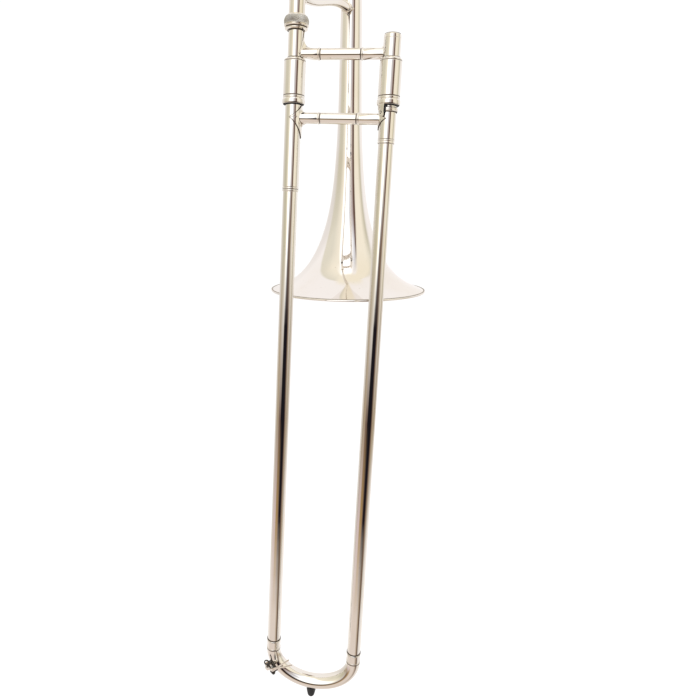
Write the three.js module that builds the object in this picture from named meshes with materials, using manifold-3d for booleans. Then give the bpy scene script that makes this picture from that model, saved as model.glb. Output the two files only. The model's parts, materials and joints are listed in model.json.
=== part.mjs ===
// A tenor slide trombone, hanging bell down, in millimetres with +Z up.
// The origin is the middle of the bell's mouth. The hand slide points down,
// the tuning slide is at the top, and the two slide tubes stand in front of the bell.
import * as THREE from 'three';
import { mergeVertices } from 'three/addons/utils/BufferGeometryUtils.js';
import Module from 'manifold-3d';

const wasm = await Module();
wasm.setup();

// Driving dimensions -----------------------------------------------------------------
const GAP = 0.3;                  // clearance between two pieces that touch
const SIDES = 16;                 // facets round a tube
const SLIDE_SPACING = 96;         // between the two slide tubes, centre to centre
const SLIDE_Y = -161;             // the slide's plane, in front of the bell
const BELL_LEAN = -0.04;          // how far the bell's axis leans over in X for each mm of Z

const BELL_MOUTH_R = 101.5;
const BELL_WALL = 0.8;
const BELL_FOOT_Z = 0.6;          // lower edge of the bell's sheet, just above its rim bead
const BELL_SEAM_Z = 150;          // where the flare is joined to the stem
const BELL_TAIL_Z = 482;          // where the bell's stem meets the tuning slide leg
const RIM_BEAD_R = 1.4;
const RIM_BEAD_Z = -0.76;
const FLARE_R = 66.2;             // how much the flare adds to the stem's radius at the mouth
const FLARE_LENGTH = 60;          // height over which that falls to a third
const LIP_LENGTH = 9.6;           // the same for the last quick part of the flare
const STEM_R = 13.4;
const STEM_TAPER = 3.8;           // the stem's radius lost by its tail
const STEM_TAPER_Z = 260;         // height where that taper starts

const OUTER_TUBE_R = 7.65;
const OUTER_BORE_R = 7.3;
const INNER_TUBE_R = 6.7;
const INNER_BORE_R = 6.35;
const STOCKING_R = 6.95;
const STOCKING_LENGTH = 118;
const SLIDE_CORK_Z = 233;
const LEADPIPE_BORE_R = 5.5;
const LEADPIPE_FOOT_Z = 40;
const SLIDE_TUBE_FOOT_Z = -398;   // lower ends of the two inner tubes
const SLEEVE_R = 8.35;
const SLEEVE_FOOT_Z = { bell_side: 121, mouthpiece_side: 171 };
const SLEEVE_TOP_Z = 231;
const TOP_RING_Z = 200;
const LOCK_STUD_ANGLE = -129;     // degrees round the mouthpiece side tube, from +X

const BARREL_R = 10.9;
const BARREL_BORE_R = 9.3;
const COLLAR_R = 11.6;
const COLLAR_Z = 208.3;
const BARREL_Z = 216.6;
const BARREL_CAP_Z = 249.8;
const BARREL_TOP_Z = 252.6;
const INNER_TUBE_TOP_Z = { bell_side: 250.6, mouthpiece_side: 253.6 };
const RECEIVER_TOP_Z = 275;
const RECEIVER_R = 8.5;

const TENON_R = 7.1;
const TENON_TUBE_R = 7.6;       // the tenon's lower part, between the barrel and the nut
const TENON_FLANGE_R = 11.5;    // the round flange that the nut turns on
const NUT_Z = 282.5;
const NUT_TOP_Z = 293;
const NUT_R = 12.8;
const NECK_R = 8.1;
const NECK_WALL = 0.7;

const BRACE_R = 5.6;
const BRACE_SPIGOT_R = 4.0;
const BRACE_SPIGOT_LENGTH = 8;    // how far the bar reaches into each socket
const WING_WIDTH = 6.6;           // of a socket's pointed wings, beside the bar
const INNER_BRACE_Z = 256.5;
const OUTER_BRACE_Z = 195;

const FERRULE_Z = -417.5;
const FERRULE_TOP_Z = -405.3;
const FERRULE_R = 8.3;
const BOW_R = 8;
const BOW_WALL = 0.7;
const BOW_DROP = 36;              // from the bow's ends down to its lowest centre line
const TIP_R = 5.6;
const TIP_FOOT_Z = -474;

const NECK_JOIN_Z = 310;          // where the neck pipe leaves the slide's axis
const LEG_R = 9.8;
const LEG_BORE_R = 9.4;
const INNER_LEG_R = 9.1;
const INNER_LEG_BORE_R = 8.7;
const LEG_TOP_Z = 577.5;
const LEG_FERRULE_Z = 474;
const LEG_FERRULE_TOP_Z = 491;
const UPPER_BRACE_Z = 528;
const UPPER_BRACE_R = 4.2;
const BELL_BRACE_R = 5.2;
const BELL_BRACE_BOSS_R = 6.4;
const BELL_BRACE_NECK_Z = 316.5;
const BELL_BRACE_STEM_Z = 345;
const CROOK_FERRULE_TOP_Z = 590;
const CROOK_CENTRE_Z = 602;
const CROOK_R = 9.4;
const CROOK_WALL = 0.7;
const TUNING_BRACE_Z = 584.3;
const TUNING_BRACE_R = 3.6;

const KEY_ANGLE = 28;             // degrees round the bow from its bell side end
const KEY_PIVOT_ANGLE = 52;       // degrees round the tube, from outside to the front
const KEY_PIVOT_R = 12.3;
const NIPPLE_ANGLE = 4;
const KEY_PLATE = 1.3;            // thickness of the lever's arms
const KEY_HALF = 1.7;             // half their width

const LEFT = -SLIDE_SPACING / 2;
const RIGHT = SLIDE_SPACING / 2;
const TUBE_X = { bell_side: LEFT, mouthpiece_side: RIGHT };

const COLOURS = {
  nickel: { color: 0xd8d2c6, roughness: 0.15, metalness: 1 },
  knurl: { color: 0xa9a6a0, roughness: 0.45, metalness: 1 },
  rubber: { color: 0x141416, roughness: 0.8, metalness: 0 },
  cork: { color: 0xa97f4f, roughness: 0.9, metalness: 0 },
  spring: { color: 0x4a4a4e, roughness: 0.35, metalness: 1 },
};

// Helpers ----------------------------------------------------------------------------
const group = new THREE.Group();
const slideGroups = {};
for (const [side, x] of Object.entries(TUBE_X)) {
  slideGroups[side] = new THREE.Group();
  slideGroups[side].position.set(x, SLIDE_Y, 0);
  group.add(slideGroups[side]);
}

function add(parent, name, geometry, look = 'nickel') {
  const mesh = new THREE.Mesh(geometry, new THREE.MeshStandardMaterial(COLOURS[look]));
  mesh.name = name;
  parent.add(mesh);
  return mesh;
}

function degrees(angle) {
  return THREE.MathUtils.degToRad(angle);
}

// Turns an outline of [radius, height] pairs round Z. Outlines run anticlockwise.
function turned(outline, sides = SIDES) {
  const points = outline.map(([r, z]) => new THREE.Vector2(r, z));
  const open = points[0].x > 0;
  if (open) points.push(points[0].clone());
  return new THREE.LatheGeometry(points, sides).rotateX(Math.PI / 2);
}

function pipe(bore, radius, foot, top, sides = SIDES) {
  return turned([[bore, foot], [radius, foot], [radius, top], [bore, top]], sides);
}

function rod(radius, foot, top, sides = SIDES) {
  return turned([[0, foot], [radius, foot], [radius, top], [0, top]], sides);
}

// A round tube of constant section along a curve.
function bent(curve, radius, wall, steps, sides = 16) {
  const section = new THREE.Shape().absarc(0, 0, radius, 0, 2 * Math.PI, false);
  section.holes.push(new THREE.Path().absarc(0, 0, radius - wall, 0, 2 * Math.PI, true));
  const options = { extrudePath: curve, steps, curveSegments: sides / 2 };
  return new THREE.ExtrudeGeometry(section, options);
}

function slab(shape, foot, top, curveSegments = 8) {
  const options = { depth: top - foot, bevelEnabled: false, curveSegments };
  return new THREE.ExtrudeGeometry(shape, options).translate(0, 0, foot);
}

// Part of a ring, between two radii and two angles in degrees, as an outline in XY.
function sector(inner, outer, from, to) {
  const shape = new THREE.Shape();
  shape.absarc(0, 0, outer, degrees(from), degrees(to), false);
  shape.absarc(0, 0, inner, degrees(to), degrees(from), true);
  shape.closePath();
  return shape;
}

// A strip of even thickness along a bent line of [x, y] points.
function strip(line, thickness) {
  const points = line.map(([x, y]) => new THREE.Vector2(x, y));
  const edge = (side) => points.map((point, i) => {
    const before = points[Math.max(i - 1, 0)];
    const after = points[Math.min(i + 1, points.length - 1)];
    const along = after.clone().sub(before).normalize();
    return new THREE.Vector2(-along.y, along.x).multiplyScalar(side * thickness / 2).add(point);
  });
  return new THREE.Shape([...edge(-1), ...edge(1).reverse()]);
}

function toSolid(geometry) {
  const bare = geometry.clone();
  bare.deleteAttribute('normal');
  bare.deleteAttribute('uv');
  const merged = mergeVertices(bare, 1e-4);
  const corners = merged.index.array;
  const kept = [];
  for (let i = 0; i < corners.length; i += 3) {
    const [a, b, c] = corners.slice(i, i + 3);
    if (a !== b && b !== c && c !== a) kept.push(a, b, c);
  }
  return new wasm.Manifold(new wasm.Mesh({
    numProp: 3,
    vertProperties: merged.attributes.position.array,
    triVerts: new Uint32Array(kept),
  }));
}

function toGeometry(solid) {
  const { vertProperties, triVerts } = solid.getMesh();
  const geometry = new THREE.BufferGeometry();
  geometry.setAttribute('position', new THREE.BufferAttribute(vertProperties, 3));
  geometry.setIndex(new THREE.BufferAttribute(triVerts, 1));
  return geometry;
}

function joined(...geometries) {
  return geometries.map(toSolid).reduce((whole, next) => whole.add(next));
}

function cut(solid, ...geometries) {
  return geometries.map(toSolid).reduce((whole, next) => whole.subtract(next), solid);
}

function basis(origin, ex, ez) {
  const frame = new THREE.Group();
  const ey = ez.clone().cross(ex);
  frame.quaternion.setFromRotationMatrix(new THREE.Matrix4().makeBasis(ex, ey, ez));
  frame.position.copy(origin);
  group.add(frame);
  return frame;
}

// Bell section -----------------------------------------------------------------------
// Its own frame has Z up the bell's leaning axis and X towards the neck pipe.
const bellAxis = new THREE.Vector3(BELL_LEAN, 0, 1).normalize();
const neckFoot = new THREE.Vector3(LEFT, SLIDE_Y, NECK_JOIN_Z);
const sideways = neckFoot.clone().addScaledVector(bellAxis, -neckFoot.dot(bellAxis));
const LEG_SPACING = sideways.length();
const LEG_X = { bell: 0, neck: LEG_SPACING };
const bellFrame = basis(new THREE.Vector3(), sideways.normalize(), bellAxis);
bellFrame.updateMatrixWorld(true);

// The bell flares slowly all the way down and quickly in its last few millimetres.
function bellRadius(height) {
  const taper = Math.max(0, height - STEM_TAPER_Z) / (BELL_TAIL_Z - STEM_TAPER_Z);
  const stem = STEM_R - STEM_TAPER * taper ** 2;
  const lip = BELL_MOUTH_R - STEM_R - FLARE_R;
  return stem + FLARE_R * Math.exp(-height / FLARE_LENGTH) + lip * Math.exp(-height / LIP_LENGTH);
}

// The sheet is thicker at the mouth, and its rings lie closer together there.
function bellSheet(name, foot, top, rings, crowding, sides) {
  const rimRoom = 2.2;
  const heights = Array.from({ length: rings + 1 }, (_, i) => foot + (top - foot) * (i / rings) ** crowding);
  const outside = heights.map((z) => [bellRadius(z) - (z === BELL_FOOT_Z ? rimRoom : 0), z]);
  const wall = (z) => BELL_WALL * (1 + 1.4 * Math.exp(-z / 30));
  const inside = outside.map(([r, z]) => [r - wall(z), z]).reverse();
  add(bellFrame, name, turned([...outside, ...inside], sides));
}

function bell() {
  bellSheet('bell_flare', BELL_FOOT_Z, BELL_SEAM_Z - GAP, 10, 2, 32);
  bellSheet('bell_stem', BELL_SEAM_Z, BELL_TAIL_Z - GAP, 5, 1.3, 24);
  const bead = new THREE.TorusGeometry(BELL_MOUTH_R - RIM_BEAD_R, RIM_BEAD_R, 6, 36);
  add(bellFrame, 'bell_rim_bead', bead.translate(0, 0, RIM_BEAD_Z));
}

// A straight brace along X between two upright pipes, with a round flange at each end.
function pipeBrace(height, pipeR, radius) {
  const bar = rod(radius, 0, LEG_SPACING).rotateY(Math.PI / 2);
  const flange = (x) => rod(radius + 2.2, 0, 1.6).rotateY(Math.PI / 2).translate(x, 0, 0);
  const solid = joined(bar, flange(pipeR - 1), flange(LEG_SPACING - pipeR - 0.6));
  const pipes = [0, LEG_SPACING].map((x) => rod(pipeR + GAP, -20, 20).translate(x, 0, 0));
  return toGeometry(cut(solid, ...pipes)).translate(0, 0, height);
}

function neck() {
  const tip = NECK_R + 1.1;
  add(slideGroups.bell_side, 'bell_receiver', turned([
    [TENON_R + 0.2, NUT_Z + 3.2], [tip, NUT_Z + 3.2], [tip, NUT_TOP_Z - 3.4],
    [NECK_R, NUT_TOP_Z - 2.6], [NECK_R, NECK_JOIN_Z], [TENON_R + 0.2, NECK_JOIN_Z],
  ]));
  const rise = 60;
  const foot = neckFoot.clone().setZ(NECK_JOIN_Z + GAP);
  const top = bellFrame.localToWorld(new THREE.Vector3(LEG_SPACING, 0, BELL_TAIL_Z - GAP));
  const curve = new THREE.CubicBezierCurve3(foot, foot.clone().setZ(foot.z + rise),
    top.clone().addScaledVector(bellAxis, -rise), top);
  add(group, 'neckpipe', bent(curve, NECK_R, NECK_WALL, 5, 14));
}

// The two legs that the tuning slide runs in, each soldered into a ferrule at its foot.
function tuningLegs() {
  const feet = { bell: 'bell_ferrule', neck: 'neck_ferrule' };
  for (const [side, x] of Object.entries(LEG_X)) {
    const leg = turned([
      [LEG_BORE_R, BELL_TAIL_Z + GAP], [LEG_R, BELL_TAIL_Z + GAP], [LEG_R, LEG_TOP_Z - 4],
      [LEG_R + 0.7, LEG_TOP_Z - 3.4], [LEG_R + 0.7, LEG_TOP_Z], [LEG_BORE_R, LEG_TOP_Z],
    ]);
    add(bellFrame, `tuning_outer_leg_${side}`, leg.translate(x, 0, 0));
    const ferrule = pipe(LEG_R + 2 * GAP, LEG_R + 1.3, LEG_FERRULE_Z, LEG_FERRULE_TOP_Z);
    add(bellFrame, feet[side], ferrule.translate(x, 0, 0));
  }
  add(bellFrame, 'upper_brace', pipeBrace(UPPER_BRACE_Z, LEG_R, UPPER_BRACE_R));
}

// Half a collar round an upright pipe of the given clear radius, with a boss towards +X.
function braceFlange(clearR, reach) {
  const boss = rod(BELL_BRACE_BOSS_R, 0, reach).rotateY(Math.PI / 2);
  const collar = rod(clearR + 1.4, -7.5, 7.5);
  const near = new THREE.BoxGeometry(40, 18, 20).translate(21, 0, 0);
  return toGeometry(cut(joined(boss, collar).intersect(toSolid(near)), rod(clearR, -20, 20)));
}

// The lower brace rises in a shallow curve from the neck pipe to the bell's stem.
function bellBrace() {
  const neckEnd = LEG_SPACING - NECK_R - 3.4;
  const stemEnd = STEM_R + 3.6;
  const curve = new THREE.CubicBezierCurve3(
    new THREE.Vector3(neckEnd, 0, BELL_BRACE_NECK_Z), new THREE.Vector3(neckEnd - 45, 0, BELL_BRACE_NECK_Z),
    new THREE.Vector3(stemEnd + 55, 0, BELL_BRACE_STEM_Z), new THREE.Vector3(stemEnd, 0, BELL_BRACE_STEM_Z));
  add(bellFrame, 'bell_brace_bar', bent(curve, BELL_BRACE_R, 1.2, 6, 12));

  const stem = braceFlange(bellRadius(BELL_BRACE_STEM_Z) + GAP, stemEnd - GAP);
  add(bellFrame, 'bell_brace_stem_flange', stem.translate(0, 0, BELL_BRACE_STEM_Z));
  const neckSide = braceFlange(NECK_R + 1.2, LEG_SPACING - neckEnd - GAP).rotateZ(Math.PI);
  add(bellFrame, 'bell_brace_neck_flange', neckSide.translate(LEG_SPACING, 0, BELL_BRACE_NECK_Z));
}

function tuningSlide() {
  const ferruleR = LEG_R + 0.6;
  for (const [side, x] of Object.entries(LEG_X)) {
    const leg = pipe(INNER_LEG_BORE_R, INNER_LEG_R, BELL_TAIL_Z + 12, CROOK_FERRULE_TOP_Z);
    add(bellFrame, `tuning_inner_leg_${side}`, leg.translate(x, 0, 0));
    const ferrule = pipe(INNER_LEG_R + GAP, ferruleR, LEG_TOP_Z + 0.6, CROOK_FERRULE_TOP_Z);
    add(bellFrame, `crook_ferrule_${side}`, ferrule.translate(x, 0, 0));
  }
  const half = LEG_SPACING / 2;
  const foot = CROOK_FERRULE_TOP_Z + GAP;
  const steps = 16;
  const line = [new THREE.Vector3(0, 0, foot)];
  for (let i = 0; i <= steps; i += 1) {
    const angle = Math.PI * (i / steps);
    line.push(new THREE.Vector3(
      half - half * Math.cos(angle), 0, CROOK_CENTRE_Z + half * Math.sin(angle)));
  }
  line.push(new THREE.Vector3(LEG_SPACING, 0, foot));
  add(bellFrame, 'tuning_crook', bent(new THREE.CatmullRomCurve3(line), CROOK_R, CROOK_WALL, 14, 14));
  add(bellFrame, 'tuning_brace', pipeBrace(TUNING_BRACE_Z, ferruleR, TUNING_BRACE_R));
}

// Slide section ----------------------------------------------------------------------
function innerSlide() {
  const stockingTop = SLIDE_TUBE_FOOT_Z + STOCKING_LENGTH;
  const capR = COLLAR_R - 0.2;
  const capBore = INNER_TUBE_R + GAP;
  for (const side of Object.keys(TUBE_X)) {
    const at = slideGroups[side];
    add(at, `inner_tube_${side}`,
      pipe(INNER_BORE_R, INNER_TUBE_R, stockingTop + GAP, INNER_TUBE_TOP_Z[side]));
    add(at, `stocking_${side}`, pipe(INNER_BORE_R, STOCKING_R, SLIDE_TUBE_FOOT_Z, stockingTop));
    add(at, `cork_barrel_${side}`, pipe(BARREL_BORE_R, BARREL_R, BARREL_Z, BARREL_CAP_Z - GAP));
    add(at, `barrel_cap_${side}`, turned([
      [capBore, BARREL_CAP_Z], [capR, BARREL_CAP_Z], [capR, BARREL_TOP_Z - 1.2],
      [BARREL_R - 0.5, BARREL_TOP_Z], [capBore, BARREL_TOP_Z],
    ]));
    add(at, `slide_cork_${side}`,
      pipe(STOCKING_R + 0.1, BARREL_BORE_R - GAP, SLIDE_CORK_Z, SLIDE_CORK_Z + 9), 'cork');
  }
  add(slideGroups.mouthpiece_side, 'leadpipe',
    pipe(LEADPIPE_BORE_R, INNER_BORE_R - GAP, LEADPIPE_FOOT_Z, BARREL_TOP_Z - 3));
  add(slideGroups.bell_side, 'barrel_collar', turned(collarOutline()));
}

function collarOutline() {
  const bore = BARREL_BORE_R + 0.1;
  return [
    [bore, COLLAR_Z], [COLLAR_R - 0.9, COLLAR_Z], [COLLAR_R, COLLAR_Z + 1.2],
    [COLLAR_R, COLLAR_Z + 5.2], [COLLAR_R - 0.6, COLLAR_Z + 5.8],
    [COLLAR_R - 0.6, BARREL_Z - GAP], [bore, BARREL_Z - GAP],
  ];
}

function tenonAndReceiver() {
  const seat = BARREL_TOP_Z + GAP;
  const spigotR = INNER_TUBE_R - 0.1;
  const tenonBore = 5.2;
  const thread = TENON_R + 0.6;
  add(slideGroups.bell_side, 'slide_tenon', turned([
    [tenonBore, BARREL_TOP_Z - 1.6], [spigotR, BARREL_TOP_Z - 1.6], [spigotR, seat],
    [TENON_TUBE_R, seat + 0.4], [TENON_TUBE_R, NUT_Z - 4], [TENON_FLANGE_R - 0.8, NUT_Z - 3.4],
    [TENON_FLANGE_R, NUT_Z - 2.8], [TENON_FLANGE_R, NUT_Z - 1.4],
    [thread, NUT_Z - 1.4], [thread, NUT_Z + 2.6], [TENON_R - 0.2, NUT_Z + 2.7],
    [TENON_R - 1.1, NECK_JOIN_Z - 2], [tenonBore, NECK_JOIN_Z - 2],
  ]));
  const bore = INNER_TUBE_R + GAP;
  add(slideGroups.mouthpiece_side, 'mouthpiece_receiver', turned([
    [bore, seat], [RECEIVER_R, seat], [RECEIVER_R, RECEIVER_TOP_Z - 2],
    [RECEIVER_R - 0.7, RECEIVER_TOP_Z], [6.2, RECEIVER_TOP_Z], [5.8, seat + 1], [bore, seat + 1],
  ]));
}

// One end of a slide brace: a socket along X with a flared foot and two pointed wings
// that hug the upright tube, up and down from it. The tube's axis is at the local origin.
function braceSocket(tubeR, reach, up, down) {
  const socket = rod(BRACE_R, 0, reach).rotateY(Math.PI / 2);
  const flare = turned([
    [0, 0], [BRACE_R + 1.2, 0], [BRACE_R + 1.2, tubeR - 1], [BRACE_R + 0.5, tubeR + 2],
    [BRACE_R, tubeR + 5.5], [0, tubeR + 5.5],
  ]).rotateY(Math.PI / 2);
  const outline = new THREE.Shape([
    [-up, 0], [-BRACE_R, WING_WIDTH], [BRACE_R, WING_WIDTH],
    [down, 0], [BRACE_R, -WING_WIDTH], [-BRACE_R, -WING_WIDTH],
  ].map(([x, y]) => new THREE.Vector2(x, y)));
  const shell = rod(tubeR + GAP + 1, -down, up);
  const wings = toSolid(shell).intersect(toSolid(slab(outline, 0.5, 30).rotateY(Math.PI / 2)));
  const bore = rod(BRACE_SPIGOT_R + GAP + 0.05, reach - BRACE_SPIGOT_LENGTH - 1, reach + 1);
  return cut(joined(socket, flare).add(wings), rod(tubeR + GAP, -40, 40), bore.rotateY(Math.PI / 2));
}

function braceBar(length) {
  const end = length + BRACE_SPIGOT_LENGTH;
  return turned([
    [3, -BRACE_SPIGOT_LENGTH], [BRACE_SPIGOT_R, -BRACE_SPIGOT_LENGTH], [BRACE_SPIGOT_R, 0], [BRACE_R, 0],
    [BRACE_R, length], [BRACE_SPIGOT_R, length], [BRACE_SPIGOT_R, end], [3, end],
  ]).rotateY(Math.PI / 2);
}

// A brace between the two slide tubes. Each end gives how far its socket reaches from the tube's
// axis, the tube's radius, the lengths of the wings up and down it, and the room cut in the
// socket for what is near it.
function slideBrace(name, height, leftEnd, rightEnd) {
  const socket = ({ reach, tubeR, up, down, room }) =>
    toGeometry(cut(braceSocket(tubeR, reach, up, down), ...room));
  const left = socket(leftEnd);
  const right = socket(rightEnd).rotateZ(Math.PI);
  add(slideGroups.bell_side, `${name}_socket_bell_side`, left.translate(0, 0, height));
  add(slideGroups.mouthpiece_side, `${name}_socket_mouthpiece_side`, right.translate(0, 0, height));
  const bar = braceBar(SLIDE_SPACING - leftEnd.reach - rightEnd.reach - 2 * GAP);
  add(slideGroups.bell_side, `${name}_bar`, bar.translate(leftEnd.reach + GAP, 0, height));
}

function slideBraces() {
  const aboveBarrel = () => [rod(COLLAR_R + GAP, -30, BARREL_TOP_Z + 0.5 - INNER_BRACE_Z)];
  slideBrace('inner_brace', INNER_BRACE_Z,
    { reach: 26, tubeR: TENON_TUBE_R, up: 17, down: 14, room: aboveBarrel() },
    { reach: 30, tubeR: RECEIVER_R, up: 9, down: 9, room: aboveBarrel() });
  slideBrace('outer_brace', OUTER_BRACE_Z,
    { reach: 28.5, tubeR: SLEEVE_R, up: 14, down: 20, room: [rod(COLLAR_R + 0.6, COLLAR_Z - 0.8 - OUTER_BRACE_Z, 30)] },
    { reach: 31, tubeR: SLEEVE_R, up: 10, down: 10, room: [
      rod(SLEEVE_R + 1.3 + GAP, TOP_RING_Z - 1.8 - OUTER_BRACE_Z, 30),
      rod(COLLAR_R + 0.6, COLLAR_Z - 4 - OUTER_BRACE_Z, 30),
    ] });
}

// The mouthpiece side collar turns, and its hook's foot catches under the stud.
function slideLock() {
  const inner = SLEEVE_R + 1.7;
  const outer = inner + 1.6;
  const hookZ = 196.6;
  const root = slab(sector(inner + 0.2, outer, -146, -108), COLLAR_Z - 5.6, COLLAR_Z + 1);
  const leg = slab(sector(inner, outer, -122, -108), hookZ, COLLAR_Z - 5);
  const foot = slab(sector(inner, outer, -135, -121), hookZ, hookZ + 2);
  const hook = joined(turned(collarOutline()), root, leg, foot);
  add(slideGroups.mouthpiece_side, 'slide_lock_ring', toGeometry(hook));

  const neckR = 1.1;
  const headR = 1.6;
  const stud = turned([
    [0, SLEEVE_R + 0.2], [headR, SLEEVE_R + 0.2], [headR, SLEEVE_R + 0.7], [neckR, SLEEVE_R + 0.9],
    [neckR, SLEEVE_R + 3.4], [0, SLEEVE_R + 3.8],
  ], 12).rotateY(Math.PI / 2).rotateZ(degrees(LOCK_STUD_ANGLE)).translate(0, 0, TOP_RING_Z + 0.2);
  const belowRing = rod(SLEEVE_R + GAP, TOP_RING_Z - 20, TOP_RING_Z - GAP);
  const ring = pipe(0.5, SLEEVE_R + 1.3 + GAP, TOP_RING_Z - 0.4, TOP_RING_Z + 10);
  add(slideGroups.mouthpiece_side, 'slide_lock_stud', toGeometry(cut(toSolid(stud), belowRing, ring)));
}

// Outer slide ------------------------------------------------------------------------
function outerSlide() {
  for (const side of Object.keys(TUBE_X)) {
    const at = slideGroups[side];
    add(at, `outer_tube_${side}`, pipe(OUTER_BORE_R, OUTER_TUBE_R, FERRULE_Z + 0.1, SLEEVE_TOP_Z));
    const foot = SLEEVE_FOOT_Z[side];
    add(at, `oversleeve_${side}`, turned([
      [OUTER_TUBE_R + GAP, foot], [SLEEVE_R + 0.2, foot], [SLEEVE_R + 0.2, foot + 1.4],
      [SLEEVE_R, foot + 1.8], [SLEEVE_R, SLEEVE_TOP_Z], [OUTER_TUBE_R + GAP, SLEEVE_TOP_Z],
    ]));
    add(at, `bow_ferrule_${side}`, pipe(OUTER_TUBE_R + GAP, FERRULE_R, FERRULE_Z, FERRULE_TOP_Z));
  }
  add(slideGroups.mouthpiece_side, 'sleeve_ring_mouthpiece_side',
    pipe(SLEEVE_R + GAP, SLEEVE_R + 1.3, TOP_RING_Z + 2, TOP_RING_Z + 6));
}

// The bow's centre line is half an ellipse, angle 0 at its bell side end.
class BowCurve extends THREE.Curve {
  getPoint(t, target = new THREE.Vector3()) {
    const angle = Math.PI * t;
    return target.set(LEFT * Math.cos(angle), SLIDE_Y, FERRULE_Z - GAP - BOW_DROP * Math.sin(angle));
  }
}

function slideBow() {
  add(group, 'slide_bow', bent(new BowCurve(), BOW_R, BOW_WALL, 14, 14));
  const middle = FERRULE_Z - GAP - BOW_DROP;
  const seat = middle - BOW_R - 1.6;
  const studR = 2.4;
  const bow = rod(BOW_R + GAP, -30, 30).rotateY(Math.PI / 2).translate(0, 0, middle);
  const stud = cut(joined(rod(4.2, seat, middle), rod(studR, TIP_FOOT_Z + 4, middle)), bow);
  add(group, 'bumper_stud', toGeometry(stud).translate(0, SLIDE_Y, 0));
  const bore = studR + GAP + 0.1;
  add(group, 'rubber_tip', turned([
    [0, TIP_FOOT_Z], [2.6, TIP_FOOT_Z + 0.3], [4.2, TIP_FOOT_Z + 1.6], [4.8, TIP_FOOT_Z + 4],
    [TIP_R, seat - GAP], [bore, seat - GAP], [bore, TIP_FOOT_Z + 3.6], [0, TIP_FOOT_Z + 3.6],
  ]).translate(0, SLIDE_Y, 0), 'rubber');
}

// Water key --------------------------------------------------------------------------
// Its frame has X out of the bow, Z along the bow's centre line and -Y to the front.
function keyFrame() {
  const bow = new BowCurve();
  const along = bow.getTangent(KEY_ANGLE / 180);
  const outwards = new THREE.Vector3(0, 1, 0).cross(along);
  return basis(bow.getPoint(KEY_ANGLE / 180), outwards, along);
}

function around(radius, angle) {
  return [radius * Math.cos(degrees(angle)), -radius * Math.sin(degrees(angle))];
}

// Turns a shape made along Z so that it points out of the tube at the nipple.
function outOfTube(geometry) {
  return geometry.rotateY(Math.PI / 2).rotateZ(-degrees(NIPPLE_ANGLE));
}

function waterKey() {
  const at = keyFrame();
  const [px, py] = around(KEY_PIVOT_R, KEY_PIVOT_ANGLE);
  const bow = () => rod(BOW_R + GAP, -30, 30);
  const pinHole = () => rod(1.35, -9, 9, 12).translate(px, py, 0);

  const nipple = outOfTube(turned([
    [1.5, BOW_R - 3], [4.2, BOW_R - 3], [4.2, BOW_R + 1], [3, BOW_R + 1.6], [2.6, BOW_R + 4],
    [1.5, BOW_R + 4],
  ]));
  add(at, 'water_key_nipple', toGeometry(cut(toSolid(nipple), bow())));

  const edges = [-KEY_PIVOT_ANGLE - 24, -KEY_PIVOT_ANGLE + 12];
  const saddle = slab(sector(BOW_R + GAP, BOW_R + 1.5, ...edges), -6.4, 6.4);
  const posts = [-5.6, 5.6].flatMap((z) => [
    rod(2.5, z - 0.7, z + 0.7).translate(px, py, 0),
    slab(strip([around(BOW_R + 0.9, KEY_PIVOT_ANGLE), [px, py]], 4.2), z - 0.7, z + 0.7),
  ]);
  add(at, 'water_key_saddle', toGeometry(cut(joined(saddle, ...posts), pinHole(), bow())));
  add(at, 'water_key_screw', turned([
    [0, -7.2], [1.7, -7.2], [1.7, -6.7], [1.0, -6.7], [1.0, 6.7], [2.0, 6.7], [2.0, 7.6], [0, 8],
  ], 12).translate(px, py, 0), 'spring');
  add(at, 'water_key_spring', coil().translate(px, py, 0), 'spring');

  const corkFoot = BOW_R + 4 + GAP;
  const corkTop = corkFoot + 2.4;
  const armR = corkTop + 1.7;
  add(at, 'water_key_cork', outOfTube(rod(3.5, corkFoot, corkTop)), 'cork');
  const arm = slab(strip(
    [[px, py], around(armR, 26), around(armR, 8), around(armR, -10)], KEY_PLATE), -KEY_HALF, KEY_HALF);
  const bar = slab(strip([[px, py], [0, -11.6], [-13.5, -14.6]], KEY_PLATE), -KEY_HALF, KEY_HALF);
  const pad = rod(4.4, -KEY_PLATE / 2, KEY_PLATE / 2).rotateX(Math.PI / 2).translate(-15.5, -15, 0);
  const backing = outOfTube(rod(3.5, corkTop + GAP, armR));
  const hub = rod(2.3, -KEY_HALF, KEY_HALF).translate(px, py, 0);
  add(at, 'water_key_lever', toGeometry(cut(joined(hub, arm, bar, pad, backing), pinHole())));
}

// The spring is wound round the hinge screw between the lever and one post.
function coil() {
  const turns = 2.5;
  const count = 22;
  const [radius, wireR, foot, length] = [2.0, 0.3, 2.3, 2.0];
  const line = Array.from({ length: count + 1 }, (_, i) => {
    const angle = 2 * Math.PI * turns * (i / count);
    return new THREE.Vector3(
      radius * Math.cos(angle), radius * Math.sin(angle), foot + length * (i / count));
  });
  const section = new THREE.Shape().absarc(0, 0, wireR, 0, 2 * Math.PI, false);
  const extrudePath = new THREE.CatmullRomCurve3(line);
  return new THREE.ExtrudeGeometry(section, { extrudePath, steps: count, curveSegments: 3 });
}

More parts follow.
